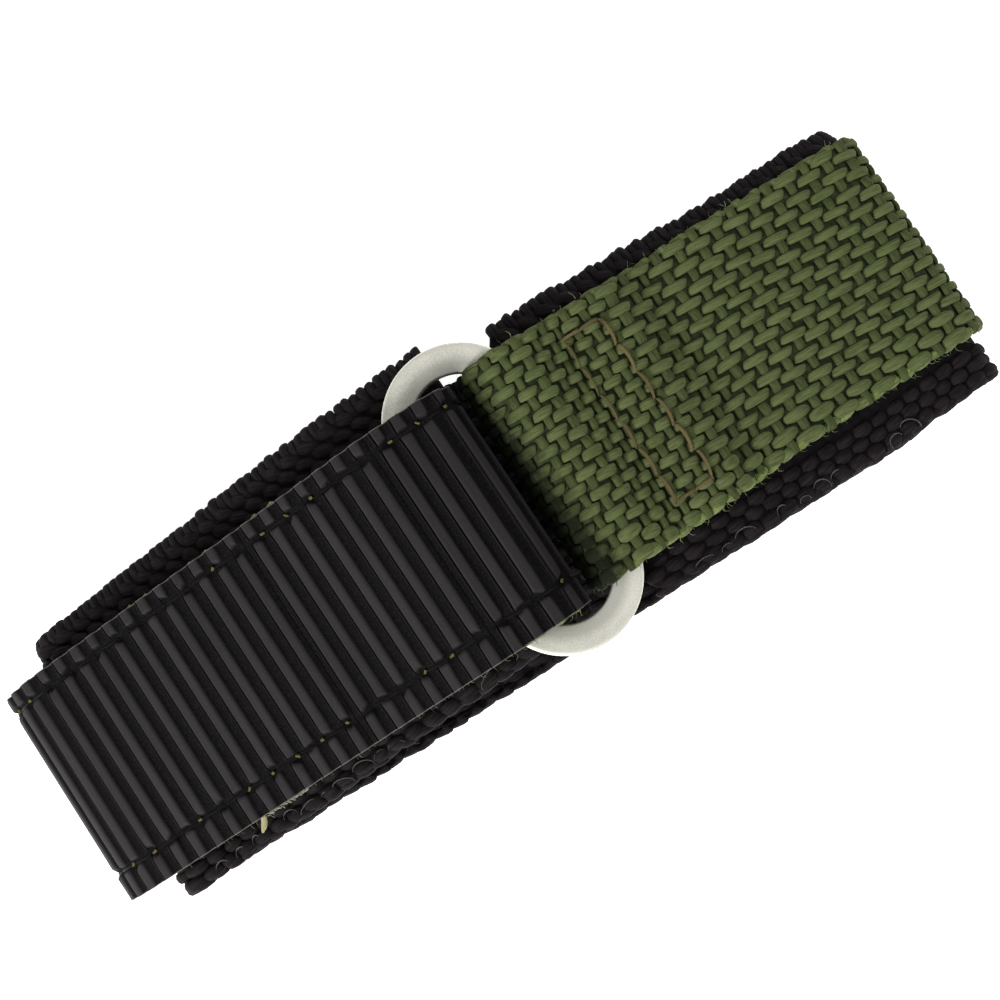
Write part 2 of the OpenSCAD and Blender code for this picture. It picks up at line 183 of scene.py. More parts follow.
class StrapColours(bpy.types.PropertyGroup):
    """Colours of the materials."""

    olive: hue("Olive yarn", "Main colour of the outer strap", (0.066, 0.085, 0.030))
    olive_pale: hue("Pale olive yarn", "Lighter yarns of the outer strap", (0.086, 0.107, 0.041))
    olive_edge: hue("Olive edge", "Worn edge of the outer strap", (0.135, 0.175, 0.052))
    # Deep olive is much darker than the yarns: painted shade in the holes of the weave
    olive_deep: hue("Deep olive", "Ground of the weave between the yarns", (0.020, 0.025, 0.011))
    pad_black: hue("Pad black", "Yarns of the pad", (0.0058, 0.0044, 0.0050))
    pad_grey: hue("Pad grey", "Fuzz and worn yarns of the pad", (0.021, 0.016, 0.018))
    # The ribs' grey is the tape's own black lightened by painted sheen
    rib_grey: hue("Rib grey", "Flat tops of the ribs", (0.0207, 0.0183, 0.0191))
    tape_black: hue("Tape black", "Valleys between the ribs", (0.0036, 0.0030, 0.0033))
    brown_thread: hue("Brown thread", "Thread of the box seam", (0.125, 0.095, 0.042))
    black_thread: hue("Black thread", "Thread of the tail's seams", (0.0040, 0.0036, 0.0040))
    bobbin_thread: hue("Bobbin thread", "Thread that peeps through the stitch holes", (0.17, 0.14, 0.04))
    steel: hue("Steel", "Ring", (0.64, 0.63, 0.56))


class StageSettings(bpy.types.PropertyGroup):
    """Camera."""

    azimuth: degrees("Azimuth", "Direction of the camera round the strap", -0.84)
    elevation: degrees("Elevation", "Height of the camera over the strap", 86.43)
    roll: degrees("Roll", "Turn of the picture", -32.85)
    distance: metres("Distance", "From the strap to the camera", 98.5 * MM)
    focus: bpy.props.FloatProperty(
        name="Focal length", description="Focal length in pixels of the picture", default=1214.0
    )
    half_picture: bpy.props.FloatProperty(
        name="Half picture", description="Half the picture's width in pixels", default=500.0
    )
    target_x: metres("Target X", "Point that the camera looks at", -1.1 * MM)
    target_y: metres("Target Y", "Point that the camera looks at", 0.63 * MM)
    target_z: metres("Target Z", "Point that the camera looks at", 12.0 * MM)


def sizes():
    """The strap's sizes as the sidebar holds them."""
    return bpy.context.scene.watch_strap_sizes


def weave():
    """The yarns' sizes as the sidebar holds them."""
    return bpy.context.scene.watch_strap_weave


def colours():
    """The colours as the sidebar holds them."""
    return bpy.context.scene.watch_strap_colours


# The strap's line seen from the side


def arc(centre, radius, start, end):
    """Points of an arc, in degrees, in X and Z."""
    angles = np.radians(np.linspace(start, end, ARC_STEPS + 1))
    return np.stack([centre[0] + radius * np.cos(angles), centre[1] + radius * np.sin(angles)], axis=1)


def facing(p, q):
    """Direction in degrees in which a belt from circle p to circle q faces outwards."""
    dx = q[0] - p[0]
    dz = q[1] - p[1]
    return math.degrees(math.atan2(dz, dx) - math.acos((p[2] - q[2]) / math.hypot(dx, dz)))


def line_length(points):
    """Length of a line through points."""
    return float(np.linalg.norm(np.diff(points, axis=0), axis=1).sum())


def softened(points, reach):
    """The same line with even points, its corners eased over about the given reach."""
    steps = np.linalg.norm(np.diff(points, axis=0), axis=1)
    marks = np.concatenate([[0.0], np.cumsum(steps)])
    keep = np.concatenate([[True], steps > 0])
    even = np.arange(0.0, marks[-1], STEP)
    line = np.stack([np.interp(even, marks[keep], points[keep, k]) for k in (0, 1)], axis=1)
    half = int(3 * reach / STEP)
    weights = np.exp(-0.5 * (np.arange(-half, half + 1) * STEP / reach) ** 2)
    before = line[0] - (line[1] - line[0]) * np.arange(half, 0, -1)[:, None]
    after = line[-1] + (line[-1] - line[-2]) * np.arange(1, half + 1)[:, None]
    longer = np.concatenate([before, line, after])
    eased = [np.convolve(longer[:, k], weights / weights.sum(), mode="valid") for k in (0, 1)]
    return np.stack(eased, axis=1)


class StrapLines:
    """Routes of the pad and of the strap, and the places along them."""

    def __init__(self, z):
        floor = z.strap_thick + z.pad_thick
        left_z = floor + z.left_opening
        right_z = floor + z.right_opening
        self.left_turn = (-z.left_reach, floor + z.left_turn, z.left_turn)
        self.right_turn = (z.right_reach, floor + z.right_turn, z.right_turn)
        self.left_knee = (-z.left_knee, left_z - z.knee, z.knee)
        self.right_knee = (z.right_knee, right_z - z.knee, z.knee)
        self.left_face = facing(self.left_knee, self.left_turn)
        self.right_face = facing(self.right_turn, self.right_knee) + 360
        ring_thick = extent("ring", 2)
        doubled = z.pad_thick + z.strap_thick
        tail_depth = doubled + z.loop_thick + z.grip_gap + z.hook_thick + z.strap_thick
        self.ring_z = right_z + doubled + z.ring_play + ring_thick / 2
        keeper_radius = ring_thick / 2 + z.ring_play
        keeper = arc((0.0, 0.0), keeper_radius, 90, 270) * (z.keeper_droop / keeper_radius, 1.0)
        keeper[:, 1] -= z.keeper_sag * (keeper[:, 0] / z.keeper_droop) ** 2
        keeper += (z.keeper_fold + z.strap_thick + z.keeper_droop, self.ring_z)
        fold_gap = 0.1 * MM
        step_room = 0.3 * MM
        step_length = 3.6 * MM
        pad_softness = 0.3 * MM
        strap_softness = 0.32 * MM
        tail_z = self.ring_z + ring_thick / 2 + z.tail_lift + z.strap_thick
        self.fold_radius = (tail_z - left_z - z.pad_thick) / 2
        fold = (z.tail_fold - z.tape_thick - self.fold_radius, tail_z - self.fold_radius)

        pad = self.belt(0.0)
        pad = np.concatenate([[[z.pad_left_end, left_z]], *pad, [[z.pad_right_end, right_z]]])
        self.pad_length = line_length(pad)
        self.pad = softened(pad, pad_softness)

        knee_end = arc(self.left_knee, z.knee + tail_depth, 90, self.left_face)[-1]
        turn_start = arc(self.left_turn, z.left_turn + tail_depth, self.left_face, 270)[0]
        down = (turn_start - knee_end) / np.linalg.norm(turn_start - knee_end)
        tip_angle = (self.left_face + 270) / 2
        tail = np.concatenate([
            arc(self.left_turn, z.left_turn + tail_depth, tip_angle, self.left_face),
            [knee_end + z.tail_landing * down],
            [[z.tail_crest, tail_z]],
        ])
        over_fold = arc(fold, self.fold_radius, 90, -90)
        left_knee, left_turn, right_turn, right_knee = self.belt(z.pad_thick)
        upper = self.belt(doubled + fold_gap)[3]
        under = self.belt(doubled)[3]
        step = np.array([
            self.leg_point(z.keeper_end + step_room + step_length, z.pad_thick),
            self.leg_point(z.keeper_end + step_room, doubled + fold_gap),
        ])
        over_bar = [[z.ring_x + extent("ring", 0) / 2 + z.ring_play, self.ring_z + keeper_radius]]
        to_step = np.concatenate([tail, over_fold, left_knee, left_turn, right_turn, step])
        strap = np.concatenate([
            to_step,
            upper,
            over_bar,
            keeper,
            under[::-1],
            [self.leg_point(z.keeper_end, doubled)],
        ])
        self.strap_length = line_length(strap)
        self.strap = softened(strap, strap_softness)
        self.fold_s = line_length(np.concatenate([tail, over_fold[:1]]))
        self.under_s = line_length(np.concatenate([tail, over_fold]))
        self.step_s = line_length(to_step)
        self.box_far = self.step_s + step_room + z.box_margin
        half_turn = left_turn[:ARC_STEPS // 2]
        self.left_turn_s = line_length(np.concatenate([[[z.pad_left_end, left_z]], left_knee, half_turn]))
        self.bottom_x = line_length(np.concatenate([tail, over_fold, left_knee, left_turn])) + z.left_reach

    def belt(self, offset):
        """The four arcs that the pad's inner face runs round, moved outwards by offset."""
        return [
            arc(self.left_knee, self.left_knee[2] + offset, 90, self.left_face),
            arc(self.left_turn, self.left_turn[2] + offset, self.left_face, 270),
            arc(self.right_turn, self.right_turn[2] + offset, 270, self.right_face + 360),
            arc(self.right_knee, self.right_knee[2] + offset, self.right_face, 90),
        ]

    def along_tail(self, x):
        """The distance along the strap at which the tail passes a place in X."""
        return int(np.argmax(self.strap[:, 0] > x)) * STEP

    def leg_point(self, along, offset):
        """A point on the right leg, at a distance along it from its soft bend."""
        start = self.belt(offset)[3][0]
        end = self.belt(offset)[2][-1]
        return start + along * (end - start) / np.linalg.norm(end - start)


# Node trees


class Flow:
    """A number inside a node tree, so that plain arithmetic adds its Math nodes."""

    def __init__(self, tree, socket):
        self.tree = tree
        self.socket = socket

    def math(self, operation, *others):
        node = self.tree.nodes.new("ShaderNodeMath")
        node.operation = operation
        for slot, value in enumerate((self, *others)):
            plug(self.tree, value, node.inputs[slot])
        return Flow(self.tree, node.outputs[0])

    def __add__(self, other):
        return self.math("ADD", other)

    def __sub__(self, other):
        return self.math("SUBTRACT", other)

    def __mul__(self, other):
        return self.math("MULTIPLY", other)

    def __truediv__(self, other):
        return self.math("DIVIDE", other)


def plug(tree, value, socket):
    """Links a value to a socket, or sets the socket to a plain number."""
    if isinstance(value, Flow):
        tree.links.new(value.socket, socket)
    elif isinstance(value, bpy.types.NodeSocket):
        tree.links.new(value, socket)
    else:
        socket.default_value = value


def add(tree, kind, inputs=None, **settings):
    """Adds a node with its settings and inputs."""
    node = tree.nodes.new(kind)
    for name, value in settings.items():
        setattr(node, name, value)
    for name, value in (inputs or {}).items():
        plug(tree, value, node.inputs[name])
    return node


def vector(tree, x, y, z):
    """Three numbers as one vector."""
    return add(tree, "ShaderNodeCombineXYZ", {"X": x, "Y": y, "Z": z}).outputs[0]


def vector_math(tree, operation, a, b=None, scale=None):
    """A Vector Math node."""
    node = add(tree, "ShaderNodeVectorMath", {0: a}, operation=operation)
    if b is not None:
        plug(tree, b, node.inputs[1])
    if scale is not None:
        plug(tree, scale, node.inputs["Scale"])
    return node.outputs[0]


SOCKETS = {
    "geometry": "NodeSocketGeometry",
    "object": "NodeSocketObject",
    "material": "NodeSocketMaterial",
    "float": "NodeSocketFloat",
    "int": "NodeSocketInt",
}


def geometry_tree(name, inputs):
    """A Geometry Nodes tree with named inputs and one geometry output."""
    tree = bpy.data.node_groups.new(name, "GeometryNodeTree")
    for label, kind in inputs:
        tree.interface.new_socket(label, in_out="INPUT", socket_type=SOCKETS[kind])
    tree.interface.new_socket("Geometry", in_out="OUTPUT", socket_type=SOCKETS["geometry"])
    start = tree.nodes.new("NodeGroupInput")
    end = tree.nodes.new("NodeGroupOutput")
    given = {label: start.outputs[label] for label, kind in inputs}
    return tree, given, end.inputs["Geometry"]


def finish_tree(tree, last, material, result):
    """Ends a tree with real instances that wear the material."""
    real = add(tree, "GeometryNodeRealizeInstances", {0: last.outputs[0]})
    coated = add(tree, "GeometryNodeSetMaterial", {"Geometry": real.outputs[0], "Material": material})
    tree.links.new(coated.outputs[0], result)


def lay_on_route_tree():
    """Bends flat shapes onto a route: X runs along it, Y across it, and Z stands off its outward side."""
    tree, given, result = geometry_tree("lay_on_route", [
        ("Geometry", "geometry"), ("Route", "object"), ("Material", "material"),
    ])
    route = add(tree, "GeometryNodeObjectInfo", {"Object": given["Route"]})
    place = add(tree, "ShaderNodeSeparateXYZ", {0: add(tree, "GeometryNodeInputPosition").outputs[0]})
    sample = add(tree, "GeometryNodeSampleCurve",
                 {"Curves": route.outputs["Geometry"], "Length": place.outputs["X"]}, mode="LENGTH")
    outward = vector_math(tree, "NORMALIZE",
                          vector_math(tree, "CROSS_PRODUCT", tuple(ACROSS), sample.outputs["Tangent"]))
    lifted = vector_math(tree, "SCALE", outward, scale=place.outputs["Z"])
    aside = vector(tree, 0.0, place.outputs["Y"], 0.0)
    moved = vector_math(tree, "ADD", vector_math(tree, "ADD", sample.outputs["Position"], lifted), aside)
    laid = add(tree, "GeometryNodeSetPosition", {"Geometry": given["Geometry"], "Position": moved})
    flipped = add(tree, "GeometryNodeFlipFaces", {0: laid.outputs[0]})
    smooth = add(tree, "GeometryNodeSetShadeSmooth", {0: flipped.outputs[0]})
    finish_tree(tree, smooth, given["Material"], result)
    return tree


def rows_on_route_tree(lay):
    """Rows of one small shape along a route, staggered from row to row."""
    tree, given, result = geometry_tree("rows_on_route", [
        ("Geometry", "geometry"), ("Shape", "object"), ("Route", "object"), ("Material", "material"),
        ("Start", "float"), ("Pitch", "float"), ("Count", "int"),
        ("Rows", "int"), ("Row gap", "float"), ("Pair shift", "float"), ("Stagger", "float"),
        ("Skew", "float"), ("Centre", "float"), ("Height", "float"),
        ("Length", "float"), ("Width", "float"), ("Thickness", "float"),
        ("Turn", "float"), ("Turn over", "float"),
        ("Place jitter", "float"), ("Turn jitter", "float"), ("Tumble jitter", "float"),
        ("Size jitter", "float"), ("Share", "float"), ("Seed", "int"),
    ])

    def number(label):
        return Flow(tree, given[label])

    def random_number(low, high, offset):
        seed = number("Seed") + float(offset)
        node = add(tree, "FunctionNodeRandomValue", {"Seed": seed}, data_type="FLOAT")
        plug(tree, low, node.inputs[2])
        plug(tree, high, node.inputs[3])
        return Flow(tree, node.outputs[1])

    def jitter(label, offset):
        return random_number(-1.0, 1.0, offset) * number(label)

    # The small shares keep a rounding error from putting a copy in the row or the column before its own
    rounding = 0.0001
    row_rounding = 0.01
    rise_share = 0.35
    rows = number("Rows")
    grid = add(tree, "GeometryNodeMeshGrid", {"Vertices X": given["Count"], "Vertices Y": given["Rows"]})
    index = Flow(tree, add(tree, "GeometryNodeInputIndex").outputs[0])
    row = index.math("MODULO", rows)
    column = (index / rows + rounding).math("FLOOR")
    odd = (row + row_rounding).math("MODULO", 2.0).math("FLOOR")
    across = (row - (rows - 1.0) * 0.5) * number("Row gap")
    across = across + number("Centre") + (odd * 2.0 - 1.0) * number("Pair shift") + jitter("Place jitter", 1)
    along = number("Start") + column * number("Pitch") + odd * number("Stagger") * number("Pitch")
    along = along + across * number("Skew") + jitter("Place jitter", 2)
    height = number("Height") + jitter("Place jitter", 3) * rise_share
    placed = add(tree, "GeometryNodeSetPosition",
                 {"Geometry": grid.outputs["Mesh"], "Position": vector(tree, along, across, height)})
    shape = add(tree, "GeometryNodeObjectInfo", {"Object": given["Shape"]})
    turned = vector(
        tree,
        number("Turn over") + jitter("Tumble jitter", 4),
        jitter("Tumble jitter", 5),
        number("Turn") + jitter("Turn jitter", 6),
    )
    grown = jitter("Size jitter", 7) + 1.0
    scale = vector(tree, number("Length") * grown, number("Width") * (jitter("Size jitter", 8) + 1.0),
                   number("Thickness") * grown)
    chosen = random_number(0.0, 1.0, 9).math("LESS_THAN", number("Share"))
    copies = add(tree, "GeometryNodeInstanceOnPoints", {
        "Points": placed.outputs[0], "Selection": chosen, "Instance": shape.outputs["Geometry"],
        "Rotation": turned, "Scale": scale,
    })
    tinted = add(tree, "GeometryNodeStoreNamedAttribute",
                 {"Geometry": copies.outputs[0], "Name": "tint", "Value": random_number(0.0, 1.0, 10)},
                 data_type="FLOAT", domain="INSTANCE")
    real = add(tree, "GeometryNodeRealizeInstances", {0: tinted.outputs[0]})
    laid = add(tree, "GeometryNodeGroup", node_tree=lay)
    plug(tree, real.outputs[0], laid.inputs["Geometry"])
    plug(tree, given["Route"], laid.inputs["Route"])
    plug(tree, given["Material"], laid.inputs["Material"])
    finish_tree(tree, laid, given["Material"], result)
    return tree


class Workshop:
    """What the operators share: the lines, the node trees, the small shapes and the finished pieces."""

    lines = None
    lay = None
    rows = None
    routes = {}
    shapes = {}
    materials = {}
    pieces = {}


def run_tree(piece, tree, settings):
    """Runs a tree on an object and keeps its result as the object's own plain mesh."""
    modifier = piece.modifiers.new("shape", "NODES")
    modifier.node_group = tree
    for item in tree.interface.items_tree:
        if item.in_out == "INPUT" and item.name in settings:
            modifier[item.identifier] = settings[item.name]
    bpy.context.view_layer.update()
    graph = bpy.context.evaluated_depsgraph_get()
    shaped = piece.evaluated_get(graph)
    mesh = bpy.data.meshes.new_from_object(shaped, preserve_all_data_layers=True, depsgraph=graph)
    piece.modifiers.remove(modifier)
    piece.data = mesh
    mesh.name = piece.name
    Workshop.pieces[piece.name] = piece
    return piece


def new_object(name, data):
    """An object in the scene."""
    made = bpy.data.objects.new(name, data)
    bpy.context.scene.collection.objects.link(made)
    return made


def mesh_object(name, points, faces, attributes=None):
    """An object from points and faces, with one number a point for each attribute."""
    mesh = bpy.data.meshes.new(name)
    mesh.from_pydata([tuple(p) for p in points], [], faces)
    for label, values in (attributes or {}).items():
        mesh.attributes.new(label, "FLOAT", "POINT").data.foreach_set("value", np.asarray(values, np.float32))
    mesh.polygons.foreach_set("use_smooth", [True] * len(mesh.polygons))
    return new_object(name, mesh)


def loft(name, loops, attributes=None, ring=False):
    """A closed skin over loops of points, capped at both ends unless it runs round as a ring."""
    loops = np.asarray(loops, float)
    count, around = loops.shape[:2]
    faces = []
    for i in range(count if ring else count - 1):
        here = i * around
        there = (i + 1) % count * around
        for j in range(around):
            k = (j + 1) % around
            faces.append((here + j, there + j, there + k, here + k))
    if not ring:
        faces.append(tuple(range(around)))
        faces.append(tuple(range((count - 1) * around, count * around))[::-1])
    flat = {label: np.asarray(values).reshape(-1) for label, values in (attributes or {}).items()}
    return mesh_object(name, loops.reshape(-1, 3), faces, flat)


def route_object(name, line, drift):
    """A hidden curve that shapes are laid on."""
    curve = bpy.data.curves.new(name, "CURVE")
    curve.dimensions = "3D"
    spline = curve.splines.new("POLY")
    spline.points.add(len(line) - 1)
    points = np.stack([line[:, 0], drift, line[:, 1], np.ones(len(line))], axis=1)
    spline.points.foreach_set("co", points.reshape(-1).astype(np.float32))
    return new_object(name, curve)


# Outline of a yarn cut across, flatter below: across and up, in widths and thicknesses
ROUNDED = (
    (-0.5, 0.0), (-0.4, 0.34), (-0.15, 0.48), (0.15, 0.48), (0.4, 0.34), (0.5, 0.0), (0.25, -0.4),
    (-0.25, -0.4),
)


def strand(name, stations, fullness, tip, dip, sway=0.0, bow=0.0, lean=0.0):
    """A short run of yarn, one unit long, wide and thick, narrower at its tips, where it dips."""
    loops, along, across = [], [], []
    for turn in np.linspace(-math.pi / 2, math.pi / 2, stations):
        u = math.sin(turn)
        width = tip + (1 - tip) * max(1 - abs(u) ** fullness, 0.0) ** 0.5
        loops.append([
            (
                0.5 * u + lean * y * width,
                y * width + sway * u + bow * math.cos(turn),
                z * width ** 0.5 - dip * u * u,
            )
            for y, z in ROUNDED
        ])
        along.append([u] * len(ROUNDED))
        across.append([2 * y for y, z in ROUNDED])
    made = loft(name, loops, {"along": along, "across": across})
    made.hide_render = True
    return made


def fibre(name, rise, sway):
    """A loose fibre, one unit long and thick, that thins out, rises and sways by so many thicknesses."""
    loops = []
    taper = 0.6
    swing = 3.0
    corners = (0.0, 2.1, 4.2)
    for t in np.linspace(0, 1, 6):
        thick = 0.5 * (1 - taper * t)
        loops.append([
            (t, sway * math.sin(swing * t) + thick * math.cos(a), rise * t * t + thick * math.sin(a))
            for a in corners
        ])
    made = loft(name, loops)
    made.hide_render = True
    return made


def rows_piece(name, shape, material, body=None, route="strap", **values):
    """Rows of a small shape on a route, as one piece. Round stands for an equal Width and Thickness."""
    unused = (
        "Row gap", "Pair shift", "Stagger", "Skew", "Centre", "Turn", "Turn over",
        "Place jitter", "Turn jitter", "Tumble jitter", "Size jitter",
    )
    every_copy = 1.1
    settings = dict.fromkeys(unused, 0.0)
    settings |= {
        "Shape": Workshop.shapes[shape],
        "Route": Workshop.routes[route],
        "Material": Workshop.materials[material],
        "Rows": 1,
        "Share": every_copy,
    }
    if "Round" in values:
        values["Width"] = values["Thickness"] = values.pop("Round")
    for label, value in values.items():
        settings[label.replace("_", " ").capitalize()] = value
    carrier = mesh_object(name, [(0.0, 0.0, 0.0)], [])
    piece = run_tree(carrier, Workshop.rows, settings)
    if body:
        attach(piece, body)
    return piece


def joined(name, parts, body=None):
    """Several pieces as one."""
    points, faces, base = [], [], 0
    labels = ("tint", "along", "across")
    values = {label: [] for label in labels}
    for part in parts:
        mesh = part.data
        count = len(mesh.vertices)
        co = np.empty(count * 3, np.float32)
        mesh.vertices.foreach_get("co", co)
        points.append(co.reshape(-1, 3))
        faces += [tuple(base + v for v in face.vertices) for face in mesh.polygons]
        base += count
        for label in labels:
            found = mesh.attributes.get(label)
            numbers = np.zeros(count, np.float32)
            if found is not None:
                found.data.foreach_get("value", numbers)
            values[label].append(numbers)
        material = next(m for m in mesh.materials if m)
        Workshop.pieces.pop(part.name)
        bpy.data.objects.remove(part)
    whole = {label: np.concatenate(numbers) for label, numbers in values.items()}
    piece = mesh_object(name, np.concatenate(points), faces, whole)
    piece.data.materials.append(material)
    Workshop.pieces[name] = piece
    if body:
        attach(piece, body)
    return piece


def band(name, material, start, end, low, high, half_width, body=None, route="strap"):
    """A plain woven band between two distances from a route, with eased edges."""
    loops = []
    ease = 0.25 * MM
    spacing = 0.5 * MM
    steps = max(int((end - start) / spacing), 4)
    middle = (low + high) / 2
    for s in np.linspace(start, end, steps + 1):
        half = half_width(s) if callable(half_width) else half_width
        across = np.linspace(-half + ease, half - ease, 7)
        loop = [(s, -half, middle)] + [(s, y, low) for y in across]
        loop += [(s, half, middle)] + [(s, y, high) for y in across[::-1]]
        loops.append(loop)
    piece = loft(name, loops)
    run_tree(piece, Workshop.lay, {"Route": Workshop.routes[route], "Material": Workshop.materials[material]})
    if body:
        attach(piece, body)
    return piece


# Materials


def shader(name):
    """A new material with its Principled shader."""
    material = bpy.data.materials.new(name)
    material.use_nodes = True
    tree = material.node_tree
    return material, tree, tree.nodes["Principled BSDF"]


def attribute(tree, label):
    """A number that the mesh carries."""
    return Flow(tree, add(tree, "ShaderNodeAttribute", attribute_name=label).outputs["Fac"])


def noise(tree, place, scale=1.0, detail=3.0):
    """Noise in the range 0 to 1."""
    inputs = {"Vector": place, "Scale": scale, "Detail": detail, "Roughness": 0.6}
    return Flow(tree, add(tree, "ShaderNodeTexNoise", inputs).outputs["Fac"])


def times(colour, factor, most=1.0):
    """A colour brightened or darkened by a factor."""
    return tuple(min(v * factor, most) for v in colour)


def blend_colours(tree, share, first, second):
    """One colour between two."""
    node = add(tree, "ShaderNodeMix", data_type="RGBA")
    plug(tree, share, node.inputs[0])
    for value, socket in ((first, node.inputs[6]), (second, node.inputs[7])):
        if isinstance(value, bpy.types.NodeSocket):
            tree.links.new(value, socket)
        else:
            socket.default_value = (*value, 1.0)
    return node.outputs[2]


def stretched(tree, flow, low, high):
    """A number spread so that low becomes 0 and high becomes 1."""
    node = add(tree, "ShaderNodeMapRange", {0: flow, 1: low, 2: high})
    return Flow(tree, node.outputs[0])


def object_place(tree, scale=(1.0, 1.0, 1.0)):
    """Object coordinates, stretched."""
    place = add(tree, "ShaderNodeTexCoord").outputs["Object"]
    return add(tree, "ShaderNodeMapping", {"Vector": place, "Scale": scale}).outputs[0]


def bump(tree, bsdf, height, distance, strength):
    """Relief on the shader's surface."""
    node = add(tree, "ShaderNodeBump", {"Height": height, "Distance": distance, "Strength": strength})
    tree.links.new(node.outputs[0], bsdf.inputs["Normal"])


def finish(tree, bsdf, colour, **values):
    """Gives the shader its colour and its other values, each under its socket's name."""
    tree.links.new(colour, bsdf.inputs["Base Color"])
    for label, value in values.items():
        plug(tree, value, bsdf.inputs[label.replace("_", " ")])


def yarn_material(
    name, dark, light, worn, sheen, roughness, filaments=4.5, wear=0.3, gloss=0.08, shaded_fold=False
):
    """Yarn of many filaments: each run has its own tint, dark lines of painted shade between its filaments
    and paler worn specks.
    """
    material, tree, bsdf = shader(name)
    tint = attribute(tree, "tint")
    along = attribute(tree, "along")
    across = attribute(tree, "across")
    lines = noise(tree, vector(tree, along * 0.8 + tint * 37.0, across * filaments, tint * 91.0))
    cloud = noise(tree, object_place(tree), scale=260.0)
    base = blend_colours(tree, stretched(tree, tint * 0.55 + cloud * 0.45, 0.2, 0.8), dark, light)
    # Painted shade: darker lines between the filaments
    shaded = blend_colours(tree, stretched(tree, lines, 0.3, 0.5), times(dark, 0.6), base)
    tone = blend_colours(tree, stretched(tree, lines, 0.45, 0.68) * 0.7, shaded, worn)
    speck = stretched(tree, noise(tree, object_place(tree), scale=5200.0, detail=2.0), 0.55, 0.8) * wear
    dyed = blend_colours(tree, speck, tone, worn)
    patchy = stretched(tree, noise(tree, object_place(tree), scale=3600.0, detail=2.0), 0.45, 0.65) * 0.35
    final = blend_colours(tree, patchy, dyed, (dark[0] * 1.25, dark[1] * 0.95, dark[2] * 1.2))
    if shaded_fold:
        final = beside_tape(tree, final)
    finish(tree, bsdf, final, Roughness=roughness, Sheen_Weight=sheen, Sheen_Roughness=0.45,
           Specular_IOR_Level=gloss)
    bump(tree, bsdf, lines, distance=0.05 * MM, strength=0.8)
    return material


def beside_tape(tree, colour):
    """The colour, darkened in a ragged zone beside the tail's fold, which stands for the deep shade there."""
    slant = 0.08
    raggedness = 1.6 * MM
    depth = 0.93
    place = add(tree, "ShaderNodeTexCoord").outputs["Object"]
    x, y, height = (Flow(tree, part) for part in add(tree, "ShaderNodeSeparateXYZ", {0: place}).outputs)
    rough = (noise(tree, place, scale=1500.0, detail=2.0) - 0.5) * raggedness
    lit = stretched(tree, x + y * slant + rough, 2.2 * MM, 4.1 * MM)
    here = stretched(tree, x, 0.2 * MM, 0.5 * MM) * stretched(tree, height, 9 * MM, 10 * MM)
    return blend_colours(tree, (lit * -1.0 + 1.0) * here * depth, colour, (0.003, 0.004, 0.002))


def woven_ground(name, dark, light, scale):
    """Plain weave of the ground, too deep to show its yarns one by one, each check paler in its middle and
    darker round its rim: painted shade between the yarns.
    """
    material, tree, bsdf = shader(name)
    place = object_place(tree, (scale, scale, scale))
    checks = add(tree, "ShaderNodeTexVoronoi", {"Vector": place, "Scale": 1.0, "Randomness": 0.35})
    share = stretched(tree, Flow(tree, checks.outputs["Distance"]), 0.1, 0.7)
    finish(tree, bsdf, blend_colours(tree, share, light, dark), Roughness=0.95, Specular_IOR_Level=0.1)
    bump(tree, bsdf, share * -1.0, distance=0.12 * MM, strength=0.8)
    return material


def ribbed_material(name):
    """Smooth woven tape: flat ribs whose grey is the tape's black lightened by painted sheen, rough dark
    valleys and a pale cut edge.
    """
    c = colours()
    material, tree, bsdf = shader(name)
    relief = attribute(tree, "relief")
    edge = attribute(tree, "edge")
    streaks = noise(tree, object_place(tree, (700.0, 60.0, 700.0)), detail=4.0)
    grain = noise(tree, object_place(tree), scale=6500.0, detail=2.0)
    uneven = stretched(tree, streaks * 0.6 + grain * 0.4, 0.38, 0.62)
    # Painted sheen: the rib tops are far lighter than the valleys of the same tape
    top = blend_colours(tree, uneven, times(c.rib_grey, 0.74), times(c.rib_grey, 1.14))
    deep = stretched(tree, grain, 0.45, 0.7)
    low = blend_colours(tree, deep, times(c.tape_black, 0.6), times(c.tape_black, 2.2))
    cloth = blend_colours(tree, stretched(tree, relief, 0.35, 0.85), low, top)
    final = blend_colours(tree, edge, cloth, (0.16, 0.155, 0.14))
    rough = stretched(tree, relief, 0.3, 0.9) * -0.25 + 0.8 + grain * 0.1
    finish(tree, bsdf, final, Roughness=rough, Specular_IOR_Level=0.08)
    bump(tree, bsdf, grain * (relief * -0.8 + 1.0) + streaks * 0.25, distance=0.03 * MM, strength=0.6)
    return material


def thread_material(name, colour, twist, roughness=0.6):
    """Sewing thread with its twist, drawn as darker and paler bands: painted shade and painted highlight on
    its plies.
    """
    material, tree, bsdf = shader(name)
    along = attribute(tree, "along")
    across = attribute(tree, "across")
    tint = attribute(tree, "tint")
    turns = add(tree, "ShaderNodeTexWave", {
        "Vector": vector(tree, along * twist + across * 0.9, 0.0, 0.0), "Scale": 1.0, "Distortion": 0.6,
    })
    waves = Flow(tree, turns.outputs["Fac"])
    # Painted shade and highlight: the twist's bands run from a darker to a paler copy of the colour
    pale = tuple(min(v * 1.9 + 0.004, 1.0) for v in colour)
    shade = blend_colours(tree, waves * 0.6 + tint * 0.3, times(colour, 0.55), pale)
    finish(tree, bsdf, shade, Roughness=roughness, Specular_IOR_Level=0.12)
    bump(tree, bsdf, waves, distance=0.05 * MM, strength=0.7)
    return material


